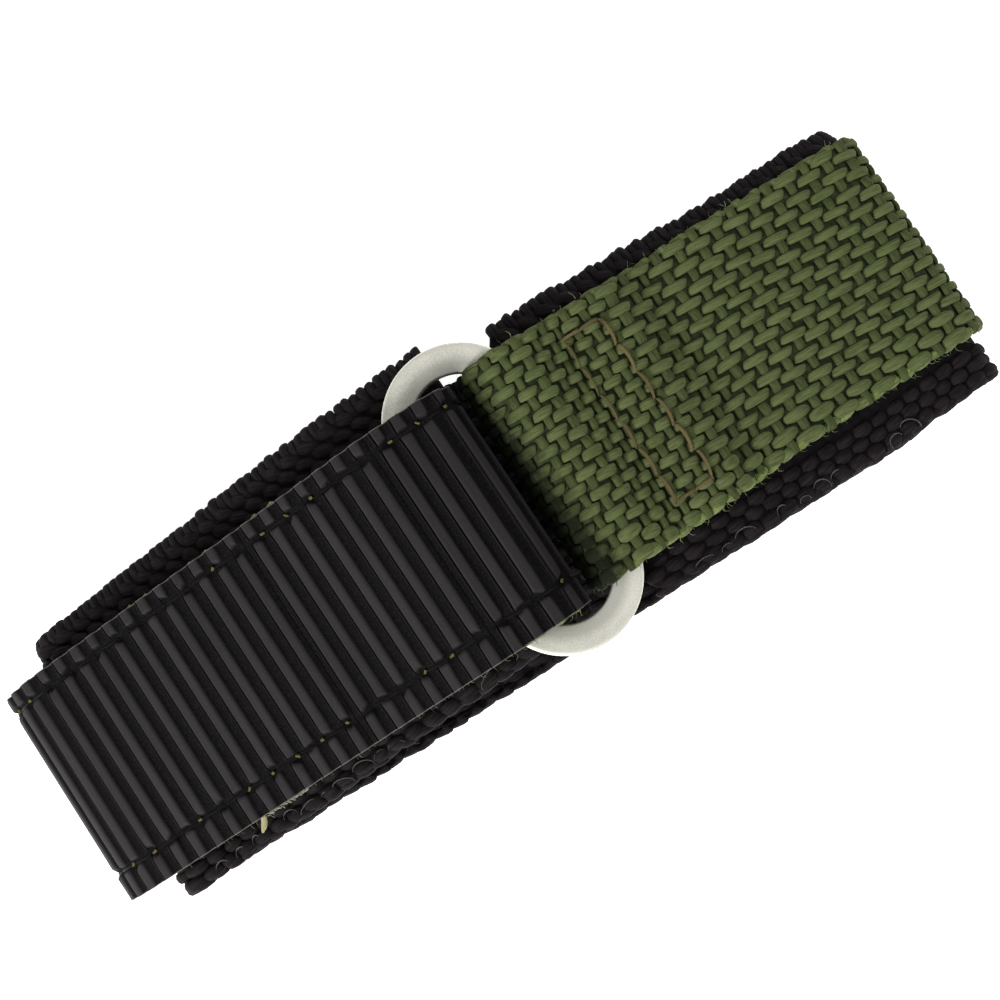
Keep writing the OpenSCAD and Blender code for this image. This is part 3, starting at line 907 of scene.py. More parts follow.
def steel_material(name):
    """Tumbled steel: matt, finely speckled, with cloudy patches and a few scratches, painted shade towards
    the band's inner edge and a painted highlight along its outer rim.
    """
    material, tree, bsdf = shader(name)
    place = object_place(tree)
    cloud = noise(tree, place, scale=420.0, detail=4.0)
    speckle = noise(tree, place, scale=7500.0, detail=2.0)
    scratches = noise(tree, object_place(tree, (240.0, 5200.0, 240.0)))
    cross = noise(tree, object_place(tree, (4600.0, 300.0, 240.0)))
    steel = colours().steel
    patches = stretched(tree, cloud * 0.5 + speckle * 0.5, 0.4, 0.6)
    # Painted shade darkens the band towards its inner edge, and a painted highlight lights its outer rim
    across = attribute(tree, "across") + cloud * 0.5 - 0.25
    zone = stretched(tree, across, -0.35, 0.25)
    band_tone = blend_colours(tree, zone, times(steel, 0.74), times(steel, 1.08))
    rim = stretched(tree, across, 0.8, 0.93)
    rimmed = blend_colours(tree, rim, band_tone, times(steel, 1.4, 0.95))
    tone = blend_colours(tree, patches * 0.45, rimmed, times(steel, 0.6))
    finish(tree, bsdf, tone, Metallic=1.0, Roughness=patches * 0.12 + 0.56)
    bump(tree, bsdf, scratches * 0.4 + cross * 0.4 + speckle, distance=0.012 * MM, strength=0.7)
    return material


def plain_fibre_material(name, colour):
    """Loose fibres, each its own shade."""
    material, tree, bsdf = shader(name)
    shade = blend_colours(tree, attribute(tree, "tint"), times(colour, 0.6), colour)
    finish(tree, bsdf, shade, Roughness=0.6, Sheen_Weight=0.5)
    return material


GRIP_GREY = (0.02, 0.02, 0.022)


def make_materials():
    """Every material, under the name that the pieces ask for."""
    c = colours()
    m = Workshop.materials
    worn_olive = times(c.olive_pale, 1.35)
    worn_edge = times(c.olive_edge, 1.4)
    m["olive_yarn"] = yarn_material(
        "olive_yarn", c.olive, c.olive_pale, worn_olive, sheen=0.0, roughness=0.85, shaded_fold=True
    )
    # The picks are the olive yarn darkened: painted shade, where they lie lower between the floats
    m["olive_pick"] = yarn_material(
        "olive_pick_yarn", times(c.olive, 0.6), times(c.olive, 0.92), c.olive, sheen=0.0, roughness=0.9,
        shaded_fold=True,
    )
    m["olive_edge"] = yarn_material(
        "olive_edge_yarn", c.olive, c.olive_edge, worn_edge, sheen=0.1, roughness=0.85, shaded_fold=True
    )
    m["pad_yarn"] = yarn_material(
        "pad_yarn", c.pad_black, times(c.pad_black, 1.6), c.pad_grey, sheen=0.0, roughness=0.8,
        filaments=3.5, wear=0.2, gloss=0.09,
    )
    # Each ground is darker than its yarns: painted shade down between them
    m["olive_ground"] = woven_ground("olive_ground", c.olive_deep, times(c.olive_deep, 2.0), scale=1400.0)
    m["pad_ground"] = woven_ground("pad_ground", times(c.pad_black, 0.4), c.pad_black, scale=1000.0)
    m["grip_ground"] = woven_ground("grip_ground", (0.006, 0.006, 0.007), GRIP_GREY, scale=1800.0)
    m["ribbed_tape"] = ribbed_material("ribbed_tape")
    m["brown_thread"] = thread_material("brown_thread", c.brown_thread, twist=11.0)
    m["black_thread"] = thread_material("black_thread", c.black_thread, twist=9.0, roughness=0.45)
    m["bobbin_thread"] = thread_material("bobbin_thread", c.bobbin_thread, twist=3.0)
    m["steel"] = steel_material("tumbled_steel")
    for name, colour in {
        "grip_fibre": GRIP_GREY,
        "pad_thread": (0.013, 0.011, 0.0115),
        "loose_fibre": (0.34, 0.31, 0.13),
        "frayed_edge": (0.13, 0.14, 0.075),
        "grey_fibre": (0.11, 0.10, 0.10),
        "green_fibre": (0.33, 0.42, 0.14),
    }.items():
        m[name] = plain_fibre_material(name, colour)


def make_shapes():
    """The small shapes that repeat."""
    s = Workshop.shapes
    for name, form in {
        "float": dict(stations=8, fullness=6.0, tip=0.62, dip=0.75, sway=0.05, lean=-0.22),
        "pick": dict(stations=6, fullness=6.0, tip=0.75, dip=0.4),
        "leaf": dict(stations=7, fullness=2.4, tip=0.2, dip=0.5, sway=0.16),
        "lump": dict(stations=7, fullness=2.6, tip=0.2, dip=0.5, sway=0.12),
        "lens": dict(stations=7, fullness=2.0, tip=0.28, dip=0.45),
        "cord": dict(stations=6, fullness=5.0, tip=0.7, dip=0.25, sway=0.1),
        "stitch": dict(stations=9, fullness=8.0, tip=0.55, dip=0.9, bow=0.3),
        "bent_stitch": dict(stations=9, fullness=8.0, tip=0.5, dip=0.9, sway=0.25, bow=0.75),
        "wave": dict(stations=11, fullness=9.0, tip=0.6, dip=0.0, bow=6.5),
    }.items():
        s[name] = strand(f"{name}_shape", **form)
    s["fibre"] = fibre("fibre_shape", rise=6.0, sway=5.0)
    s["curl"] = fibre("curl_shape", rise=3.0, sway=2.5)


# Pieces


# Room for the yarns round the ground of a woven band, and how far the olive yarns lie under its face
YARN_ROOM = 0.3 * MM
YARN_DIP = 0.12 * MM

# Measured back from the tail's fold: where the hook tape stops, and where the tail starts to bend.
# Then how far along the tail its second bend lies, and how much of the fold wears ribbed tape
HOOK_STOP = 6.7 * MM
FOLD_LEAD = 3.2 * MM
SECOND_BEND = 0.65
TAPE_WRAP = 150 / 180


class PieceOperator:
    """What every operator here shares."""

    bl_options = {"REGISTER", "UNDO"}


class WATCHSTRAP_OT_workshop(PieceOperator, bpy.types.Operator):
    """Lay out the strap's route, its materials and the small shapes that repeat"""

    bl_idname = "watch_strap.workshop"
    bl_label = "Route, materials and small shapes"

    def execute(self, context):
        z = sizes()
        lines = StrapLines(z)
        Workshop.lines = lines
        Workshop.lay = lay_on_route_tree()
        Workshop.rows = rows_on_route_tree(Workshop.lay)
        along = np.arange(len(lines.pad)) * STEP
        total = along[-1]
        turn_s = total - lines.left_turn_s
        climb = 11 * MM
        drift = np.interp(
            along,
            [0.0, lines.left_turn_s, turn_s, turn_s + climb, turn_s + 2 * climb, total],
            [z.drift_left_end, z.drift_left, z.drift_right, z.drift_right_leg, z.drift_right_upper,
             z.drift_right_end],
        )
        Workshop.routes["pad"] = route_object("pad_route", lines.pad, drift)
        ahead = np.gradient(lines.pad, axis=0)
        outward = np.stack([-ahead[:, 1], ahead[:, 0]], axis=1) / np.linalg.norm(ahead, axis=1)[:, None]
        flare_reach = 6 * MM
        flare = z.pad_flare * np.exp(-((along - lines.left_turn_s) / flare_reach) ** 2)
        flared = lines.pad - outward * flare[:, None]
        lines.pad_edge_length = line_length(flared)
        Workshop.routes["pad_edge"] = route_object("pad_edge_route", flared, drift)
        return_reach = 9 * MM
        strap_drift = np.interp(
            np.arange(len(lines.strap)) * STEP,
            [lines.bottom_x, lines.bottom_x + z.right_reach, lines.step_s - return_reach, lines.step_s],
            [0.0, z.strap_drift_turn, z.strap_drift_leg, z.strap_drift_ring],
        )
        Workshop.routes["strap"] = route_object("strap_route", lines.strap, strap_drift)
        make_materials()
        make_shapes()
        return {"FINISHED"}


class WATCHSTRAP_OT_pad(PieceOperator, bpy.types.Operator):
    """Weave the black pad, open under the ring"""

    bl_idname = "watch_strap.pad"
    bl_label = "Pad"

    def execute(self, context):
        z = sizes()
        w = weave()
        length = Workshop.lines.pad_length
        edge_length = Workshop.lines.pad_edge_length
        half = z.pad_width / 2
        corner = 1.6 * MM
        tuck = 0.05 * MM

        def half_width(s):
            nearest = min(s, length - s)
            cut = corner - math.sqrt(max(corner ** 2 - max(corner - nearest, 0.0) ** 2, 0.0))
            return half - YARN_ROOM - cut

        band("pad_webbing", "pad_ground", start=0.02 * MM, end=length - 0.1 * MM, low=YARN_ROOM,
             high=z.pad_thick - YARN_ROOM, half_width=half_width, body="loop", route="pad")
        braid = dict(Stagger=0.5, Place_jitter=0.06 * MM, Turn_jitter=0.06, Size_jitter=0.08)
        count = int(length / w.braid_pitch)
        row_gap = 0.98 * MM
        rows_piece("pad_inner_braid", "lump", "pad_yarn", "loop", "pad", Pitch=w.braid_pitch, Count=count,
                   Start=(length - (count - 1) * w.braid_pitch) / 2, Rows=int(z.pad_width / row_gap) - 1,
                   Row_gap=row_gap, Height=YARN_ROOM + tuck, Length=w.braid_length, Width=w.braid_width,
                   Thickness=0.85 * MM, Turn_over=math.pi, Seed=11, **braid)
        count = round(edge_length / w.edge_pitch)
        start = 0.75 * MM
        pitch = (edge_length - 2 * start) / (count - 0.5)
        outer = [
            rows_piece(f"pad_braid_{side}", "lump", "pad_yarn", None, "pad_edge", Start=start, Pitch=pitch,
                       Count=count, Rows=3, Row_gap=1.0 * MM, Centre=side * (half - inset),
                       Height=z.pad_thick - YARN_ROOM - tuck, Length=pitch * 1.15, Width=1.2 * MM,
                       Thickness=1.0 * MM, Turn=side * 0.25, Seed=20 + side, **braid)
            for side, inset in ((-1, 1.6 * MM), (1, 2.3 * MM))
        ]
        joined("pad_outer_braid", outer, "loop")
        edges = [
            rows_piece(f"pad_edge_{side}", shape, "pad_yarn", None, "pad_edge", Start=pitch / 2, Pitch=pitch,
                       Count=int(edge_length / pitch), Centre=side * (half - inset), Height=z.pad_thick / 2,
                       Length=long, Width=1.0 * MM, Thickness=z.pad_thick * 0.95, Turn=turn,
                       Place_jitter=0.07 * MM, Turn_jitter=0.14, Size_jitter=0.12, Seed=31 + side)
            for side, shape, pitch, inset, long, turn in (
                (1, "cord", 0.78 * MM, 0.76 * MM, 1.9 * MM, 1.35),
                (-1, "lump", 1.6 * MM, 0.2 * MM, 2.3 * MM, -0.15),
            )
        ]
        joined("pad_selvedges", edges, "loop")
        pitch = 1.9 * MM
        rows_piece("pad_edge_threads", "wave", "pad_thread", "loop", "pad_edge", Start=2 * MM, Pitch=pitch,
                   Count=int(edge_length / pitch) - 2, Centre=-half + 0.45 * MM, Height=z.pad_thick * 1.04,
                   Length=1.5 * MM, Round=0.08 * MM, Turn_jitter=0.6, Place_jitter=0.25 * MM,
                   Size_jitter=0.4, Share=0.55, Seed=37)
        return {"FINISHED"}


class WATCHSTRAP_OT_strap(PieceOperator, bpy.types.Operator):
    """Weave the olive strap from the top of the fold through the ring, round the loop and back to the ring"""

    bl_idname = "watch_strap.strap"
    bl_label = "Outer strap"

    def execute(self, context):
        z = sizes()
        w = weave()
        lines = Workshop.lines
        start = fold_start()
        band("strap_webbing", "olive_ground", start, lines.strap_length - 0.2 * MM, low=0.1 * MM,
             high=z.strap_thick - 0.54 * MM, half_width=z.strap_width / 2 - YARN_ROOM, body="loop")
        tight_from = lines.step_s - 0.5 * MM
        end = lines.strap_length - 0.6 * MM
        olive_face([(start, tight_from, w.float_pitch), (tight_from, end, w.tight_pitch)])
        olive_edges(start, end - start)
        return {"FINISHED"}


def olive_face(runs):
    """Yarns of the olive webbing's outward face, over runs of (start, end, pitch)."""
    z = sizes()
    w = weave()
    top = z.strap_thick - YARN_DIP
    face_rows = w.rows - w.edge_rows
    floats, picks = [], []
    for number, (start, end, wanted) in enumerate(runs):
        count = round((end - start) / wanted)
        pitch = (end - start) / count
        seed = 41 + 10 * number
        common = dict(Pitch=pitch, Count=count, Row_gap=w.row_gap, Stagger=0.5, Skew=w.skew,
                      Place_jitter=0.05 * MM, Size_jitter=0.07)
        floats.append(rows_piece(
            f"strap_floats_{number}", "float", "olive_yarn", Start=start + pitch / 2, Rows=face_rows,
            Centre=w.edge_rows * w.row_gap / 2, Pair_shift=-w.pair_shift, Height=top - 0.1 * MM,
            Length=pitch * w.float_share, Width=w.float_width, Thickness=0.44 * MM, Turn=0.06,
            Turn_jitter=0.05, Seed=seed, **common))
        floats.append(rows_piece(
            f"strap_edge_rows_{number}", "lens", "olive_yarn", Start=start, Rows=w.edge_rows,
            Centre=-face_rows * w.row_gap / 2, Height=top - 0.12 * MM, Length=pitch * 0.66, Width=1.12 * MM,
            Thickness=0.52 * MM, Turn=0.03, Turn_jitter=0.06, Seed=seed + 1, **common))
        picks.append(rows_piece(
            f"strap_picks_{number}", "pick", "olive_pick", Start=start + pitch / 2 - 0.06 * MM, Rows=w.rows,
            Pair_shift=w.pair_shift, Height=top - 0.2 * MM, Length=1.3 * MM, Width=0.32 * MM + pitch * 0.13,
            Thickness=0.5 * MM, Turn=math.pi / 2, Turn_jitter=0.08, Seed=seed + 2, **common))
    joined("strap_floats", floats, "loop")
    joined("strap_picks", picks, "loop")


def olive_edges(start, length):
    """Yarns that turn round the olive webbing's two edges."""
    z = sizes()
    w = weave()
    half = z.strap_width / 2
    top = z.strap_thick - YARN_DIP

    def along_edge(part, shape, material, pitch, **values):
        return rows_piece(f"strap_{part}", shape, material, Start=start + pitch, Pitch=pitch,
                          Count=int(length / pitch) - 1, Skew=w.skew, Place_jitter=0.06 * MM,
                          Size_jitter=0.12, **values)

    lower = [
        along_edge("edge_lumps", "lump", "olive_edge", 1.62 * MM, Centre=0.3 * MM - half,
                   Height=top - 0.35 * MM, Length=1.8 * MM, Width=0.8 * MM, Thickness=0.7 * MM, Turn=-0.25,
                   Turn_jitter=0.12, Seed=51),
        along_edge("edge_under", "leaf", "olive_edge", 1.62 * MM, Centre=0.5 * MM - half,
                   Height=z.strap_thick * 0.42, Length=2.2 * MM, Width=0.7 * MM, Thickness=0.6 * MM,
                   Turn=-0.12, Turn_jitter=0.1, Seed=52),
        along_edge("edge_tufts", "curl", "olive_edge", 0.82 * MM, Centre=0.05 * MM - half,
                   Height=top - 0.45 * MM, Length=0.5 * MM, Round=0.1 * MM, Turn=-1.2, Turn_jitter=0.9,
                   Tumble_jitter=0.5, Share=0.8, Seed=53),
    ]
    joined("strap_selvedges", lower, "loop")
    upper = [
        along_edge("edge_balls", "pick", "olive_yarn", w.float_pitch / 2, Centre=half - 0.25 * MM,
                   Height=top - 0.3 * MM, Length=0.6 * MM, Width=0.8 * MM, Thickness=0.5 * MM,
                   Turn=math.pi / 2, Seed=54),
        along_edge("edge_line", "leaf", "olive_yarn", w.float_pitch / 2, Centre=half - 0.22 * MM,
                   Height=z.strap_thick * 0.55, Length=2.2 * MM, Width=0.5 * MM, Thickness=0.6 * MM, Seed=55),
    ]
    joined("strap_upper_edge", upper, "loop")


def squared(value, power):
    """A sine or cosine that a power below 1 makes squarer."""
    return math.copysign(abs(value) ** power, value)


class WATCHSTRAP_OT_ring(PieceOperator, bpy.types.Operator):
    """Form the oval ring"""

    bl_idname = "watch_strap.ring"
    bl_label = "Ring"

    def execute(self, context):
        z = sizes()
        long_size = extent("ring", 1)
        wide = extent("ring", 0)
        thick = extent("ring", 2)
        straight = (long_size - wide) / 2
        radius = (wide - z.ring_band) / 2
        bevel = 0.16 * MM
        corners = 24
        steps = 128
        section = np.linspace(0, 2 * math.pi, corners, endpoint=False)
        places = [squared(math.cos(b), 0.5) for b in section]
        heights = [
            thick / 2 * squared(math.sin(b), 0.3) - bevel * (1 - math.cos(b)) * max(math.sin(b), 0.0)
            for b in section
        ]
        loops = []
        for a in np.linspace(0, 2 * math.pi, steps, endpoint=False):
            out = np.array([math.cos(a), math.sin(a), 0.0])
            end = np.array([z.ring_x, math.copysign(straight, math.sin(a)), Workshop.lines.ring_z])
            loops.append([
                end + (radius + z.ring_band / 2 * place) * out + np.array([0.0, 0.0, height])
                for place, height in zip(places, heights)
            ])
        piece = loft("oval_ring", loops, {"across": [places] * len(loops)}, ring=True)
        piece.data.materials.append(Workshop.materials["steel"])
        Workshop.pieces["oval_ring"] = piece
        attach(piece, "ring")
        return {"FINISHED"}


class WATCHSTRAP_OT_seams(PieceOperator, bpy.types.Operator):
    """Sew the seams of the strap and the pad"""

    bl_idname = "watch_strap.seams"
    bl_label = "Strap seams"

    def execute(self, context):
        z = sizes()
        lines = Workshop.lines
        skew = weave().skew
        top = z.strap_thick + 0.1 * MM
        thin = 0.27 * MM
        stitches = 6
        pitch = z.box_width / stitches
        box = [
            rows_piece(f"box_{number}", "bent_stitch", "brown_thread", Pitch=1.0, Count=1,
                       Start=lines.box_far + number * z.box_length, Rows=stitches, Row_gap=pitch, Height=top,
                       Length=pitch * 0.98, Round=thin, Turn=math.pi / 2, Skew=skew, Turn_jitter=0.09,
                       Place_jitter=0.04 * MM, Seed=61 + number)
            for number in (0, 1)
        ]
        box += [
            rows_piece(f"box_end_{side}", "stitch", "brown_thread", Pitch=z.box_length / 2, Count=2,
                       Start=lines.box_far + z.box_length / 4, Centre=side * z.box_width / 2, Height=top,
                       Skew=skew, Length=z.box_length * 0.52, Round=thin, Turn_jitter=0.06, Seed=65 + side)
            for side in (-1, 1)
        ]
        box += [
            rows_piece(f"box_frays_{number}", "curl", "brown_thread", Start=lines.box_far, Pitch=z.box_length,
                       Count=2, Rows=2, Row_gap=z.box_width, Height=top, Length=0.8 * MM, Round=0.07 * MM,
                       Turn_jitter=3.1, Place_jitter=0.15 * MM, Seed=68 + number)
            for number in range(3)
        ]
        joined("box_seam", box, "loop")
        width = z.strap_width - 2 * z.seam_margin
        count = round(width / z.stitch_pitch)
        pitch = width / count
        across = dict(Rows=count, Row_gap=pitch, Length=pitch * 0.96, Turn=math.pi / 2)
        rows_piece("pad_end_seam", "stitch", "black_thread", "loop", Start=lines.under_s + z.pad_seam,
                   Pitch=1.0, Count=1, Height=top, Round=z.thread, Seed=71, **across)
        for side, name in ((-1, "left"), (1, "right")):
            middle = lines.bottom_x + side * z.bar_spacing / 2
            rows_piece(f"seat_seams_{name}", "stitch", "brown_thread", "loop", Start=middle - z.bar_room / 2,
                       Pitch=z.bar_room, Count=2, Height=z.strap_thick - 0.1 * MM, Round=thin,
                       Turn_jitter=0.04, Seed=73 + side, **across)
        return {"FINISHED"}


def pile(name, body, start, end, height, width, shape, length, seed):
    """Close rows of short fibres on a grip tape."""
    gap = 0.55 * MM
    margin = 0.3 * MM
    return rows_piece(name, shape, "grip_fibre", body, Start=start + margin, Pitch=gap,
                      Count=int((end - start - 2 * margin) / gap), Rows=int(width / gap), Row_gap=gap,
                      Height=height, Length=length, Round=0.09 * MM, Stagger=0.5, Place_jitter=0.12 * MM,
                      Turn_jitter=3.1, Size_jitter=0.3, Seed=seed)


class WATCHSTRAP_OT_loop_tape(PieceOperator, bpy.types.Operator):
    """Lay the soft loop tape on the left leg and sew it down"""

    bl_idname = "watch_strap.loop_tape"
    bl_label = "Loop tape"

    def execute(self, context):
        z = sizes()
        start = Workshop.lines.under_s + z.loop_start
        end = start + z.loop_length
        high = z.strap_thick + z.loop_thick
        margin = 1.2 * MM
        band("loop_tape_ground", "grip_ground", start, end, low=z.strap_thick, high=high - 0.4 * MM,
             half_width=z.grip_width / 2, body="loop")
        pile("loop_tape_pile", "loop", start, end, height=high - 0.42 * MM, width=z.grip_width - 0.6 * MM,
             shape="curl", length=0.62 * MM, seed=81)
        rows_piece("loop_tape_seams", "stitch", "black_thread", "loop", Pitch=z.stitch_pitch,
                   Start=start + margin + z.stitch_pitch / 2, Rows=2, Row_gap=z.grip_width - 2 * margin,
                   Count=int((z.loop_length - 2 * margin) / z.stitch_pitch), Height=high - 0.15 * MM,
                   Length=z.stitch_pitch * 0.94, Round=z.thread, Seed=83)
        return {"FINISHED"}


class WATCHSTRAP_OT_tail(PieceOperator, bpy.types.Operator):
    """Make the tail's webbing and its hook tape in two parts"""

    bl_idname = "watch_strap.tail"
    bl_label = "Tail webbing and hook tape"

    def execute(self, context):
        z = sizes()
        half = z.strap_width / 2
        thick = z.strap_thick
        high = thick + z.hook_thick
        edge_pitch = 1.65 * MM
        for name, start, end in tail_parts():
            band(f"olive_tail_{name}", "olive_ground", start, end, low=0.08 * MM, high=thick - 0.2 * MM,
                 half_width=half - YARN_ROOM)
            edges = [
                rows_piece(f"tail_edge_{name}_{side}", "leaf", "olive_edge", Start=start + edge_pitch / 2,
                           Pitch=edge_pitch, Count=int((end - start) / edge_pitch),
                           Centre=side * (half - 0.5 * MM), Height=thick * 0.5, Length=2.6 * MM,
                           Width=0.85 * MM, Thickness=1.0 * MM, Turn=side * 0.28, Place_jitter=0.07 * MM,
                           Turn_jitter=0.1, Size_jitter=0.1, Seed=91 + side)
                for side in (-1, 1)
            ]
            joined(f"tail_selvedges_{name}", edges)
            hook_end = min(end, Workshop.lines.fold_s - HOOK_STOP)
            band(f"hook_ground_{name}", "grip_ground", start, hook_end, low=thick, high=high - 0.35 * MM,
                 half_width=z.grip_width / 2)
            pile(f"hooks_{name}", None, start, hook_end, height=high - 0.4 * MM,
                 width=z.grip_width - 0.8 * MM, shape="fibre", length=0.3 * MM, seed=95)
        return {"FINISHED"}


def valley(s):
    """The middle of the ribbed tape's valley just before a distance along the strap."""
    z = sizes()
    return z.rib_start + (math.floor((s - z.rib_start) / z.rib_pitch - 0.5) + 0.5) * z.rib_pitch


def fold_start():
    """Where the part of the tail that stays with the loop starts."""
    return valley(Workshop.lines.fold_s - FOLD_LEAD)


def tail_parts():
    """The tail's two parts, each from one distance along the strap to another."""
    middle = valley(Workshop.lines.fold_s * SECOND_BEND)
    return (("end", 0.0, middle), ("middle", middle, fold_start()))


def tape_end():
    """Where the ribbed tape stops, most of the way round the tail's fold."""
    lines = Workshop.lines
    return lines.fold_s + TAPE_WRAP * (lines.under_s - lines.fold_s)


# Left of each rib the tape falls steeply, and a thin bead runs along there
STEEP_SLOPE = 0.08 * MM
BEAD_GAP = 0.2 * MM
BEAD_WIDTH = 0.07 * MM


def rib_profile(s):
    """Height of the ribbed tape at a distance along it, and how much of a flat rib is there."""
    z = sizes()
    away = s - z.rib_start
    away -= round(away / z.rib_pitch) * z.rib_pitch
    slope = z.rib_slope if away > 0 else STEEP_SLOPE
    rise = np.clip((z.rib_width / 2 + slope - abs(away)) / slope, 0, 1)
    rise = rise * rise * (3 - 2 * rise)
    bead = 0.8 * math.exp(-((away + z.rib_width / 2 + BEAD_GAP) / BEAD_WIDTH) ** 2)
    relief = max(rise, bead)
    return z.tape_base + (z.tape_thick - z.tape_base) * relief, relief


def rib_stations(start, end):
    """Distances at which the ribbed tape's height changes."""
    z = sizes()
    half = z.rib_width / 2
    bead = half + BEAD_GAP
    marks = [-half - 0.45 * MM, -bead - BEAD_WIDTH, -bead, -bead + BEAD_WIDTH, -half - STEEP_SLOPE]
    marks += [-half, -half / 2, half / 2, half]
    marks += [half + z.rib_slope * share for share in (0.3, 0.6, 1.0)]
    first = int(start / z.rib_pitch) - 2
    last = int(end / z.rib_pitch) + 1
    places = [z.rib_start + n * z.rib_pitch + m for n in range(first, last + 1) for m in marks]
    nearest = 0.02 * MM
    return [start] + [p for p in places if start + nearest < p < end - nearest] + [end]


def ribbed_part(name, start, end):
    """A length of ribbed tape, crushed where its two seams run."""
    z = sizes()
    half = z.strap_width / 2
    thinnest = 0.04 * MM
    seams = [side * (half - z.seam_margin) + z.seam_drift for side in (-1, 1)]
    across = set(np.linspace(-half, half, 21)) | {-half + 0.09 * MM, half - 0.09 * MM}
    for seam in seams:
        across |= {seam + d * MM for d in (-0.75, -0.55, -0.38, -0.2, 0.0, 0.2, 0.38, 0.55, 0.75)}
    across = sorted(across)
    loops, relief, edge = [], [], []
    for s in rib_stations(start, end):
        height, rib = rib_profile(s)
        loop = [(s, y, 0.0) for y in (-half, 0.0, half)]
        shown = [0.0] * 3
        pale = [1.0] * 3
        phase = 2 * math.pi * (s - 0.1 * MM) / z.stitch_pitch
        hole = 0.5 + 0.5 * math.cos(phase)
        for y in across[::-1]:
            seam = min(seams, key=lambda value: abs(value - y))
            sway = math.sin(phase * 0.73 + seam * 400) + math.sin(phase * 1.9 + seam * 900)
            away = y - seam - 0.06 * MM * sway
            reach = abs(away) / (0.25 * MM + 0.2 * MM * hole ** 2)
            crush = math.exp(-reach ** 4)
            pit = 0.2 * MM * math.exp(-(reach * 0.8) ** 2) * hole ** 3
            pinch = math.exp(-(away / (0.8 * MM)) ** 2)
            pull = -0.09 * MM * math.sin(phase) * pinch
            sag = 0.04 * MM * math.sin(phase * 1.3 + y * 300) * pinch
            flat = height - (height - z.tape_base * 0.8) * crush - pit
            loop.append((s + pull, y, -max(flat + sag * (1 - crush), thinnest)))
            # Crushed tape by the seams loses the rib tops' painted sheen and takes the valleys' darker tone
            shown.append(rib * (1 - crush))
            pale.append(1.0 if half - abs(y) < 0.05 * MM else 0.0)
        loops.append(loop)
        relief.append(shown)
        edge.append(pale)
    piece = loft(name, loops, {"relief": relief, "edge": edge})
    worn = {"Route": Workshop.routes["strap"], "Material": Workshop.materials["ribbed_tape"]}
    return run_tree(piece, Workshop.lay, worn)


def tape_seams(name, start, end, body=None):
    """The two seams of the ribbed tape, with the bobbin thread that peeps out of some holes."""
    z = sizes()
    first = math.ceil(start / z.stitch_pitch)
    last = math.floor(end / z.stitch_pitch)
    gap = z.strap_width - 2 * z.seam_margin
    rows_piece(f"{name}_stitches", "stitch", "black_thread", body, Start=(first + 0.5) * z.stitch_pitch,
               Pitch=z.stitch_pitch, Count=last - first, Rows=2, Row_gap=gap, Centre=z.seam_drift,
               Height=-0.21 * MM, Length=z.stitch_pitch * 0.97, Round=z.thread * 0.7, Turn_over=math.pi,
               Turn_jitter=0.06, Place_jitter=0.06 * MM, Seed=101)
    dots = [
        rows_piece(f"{name}_dots_{side}", "pick", "bobbin_thread", Start=first * z.stitch_pitch + 0.1 * MM,
                   Pitch=z.stitch_pitch, Count=last - first + 1, Centre=z.seam_drift + side * gap / 2,
                   Height=-0.2 * MM, Length=0.3 * MM, Width=0.22 * MM, Thickness=0.25 * MM, Share=share,
                   Place_jitter=0.07 * MM, Turn_jitter=1.0, Size_jitter=0.3, Seed=103 + side)
        for side, share in ((-1, 0.75), (1, 0.35))
    ]
    joined(f"{name}_dots", dots, body)


class WATCHSTRAP_OT_ribbed_tape(PieceOperator, bpy.types.Operator):
    """Lay the ribbed tape over the tail and its fold, and sew it down"""

    bl_idname = "watch_strap.ribbed_tape"
    bl_label = "Ribbed tape"

    def execute(self, context):
        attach(ribbed_part("ribbed_tape_over_fold", fold_start(), tape_end()), "loop")
        for name, start, stop in tail_parts():
            ribbed_part(f"ribbed_tape_{name}_part", start, stop)
            tape_seams(f"tape_seam_{name}", start + 0.1 * MM, stop)
        tape_seams("tape_seam_fold", fold_start(), Workshop.lines.fold_s + 2.8 * MM, "loop")
        return {"FINISHED"}


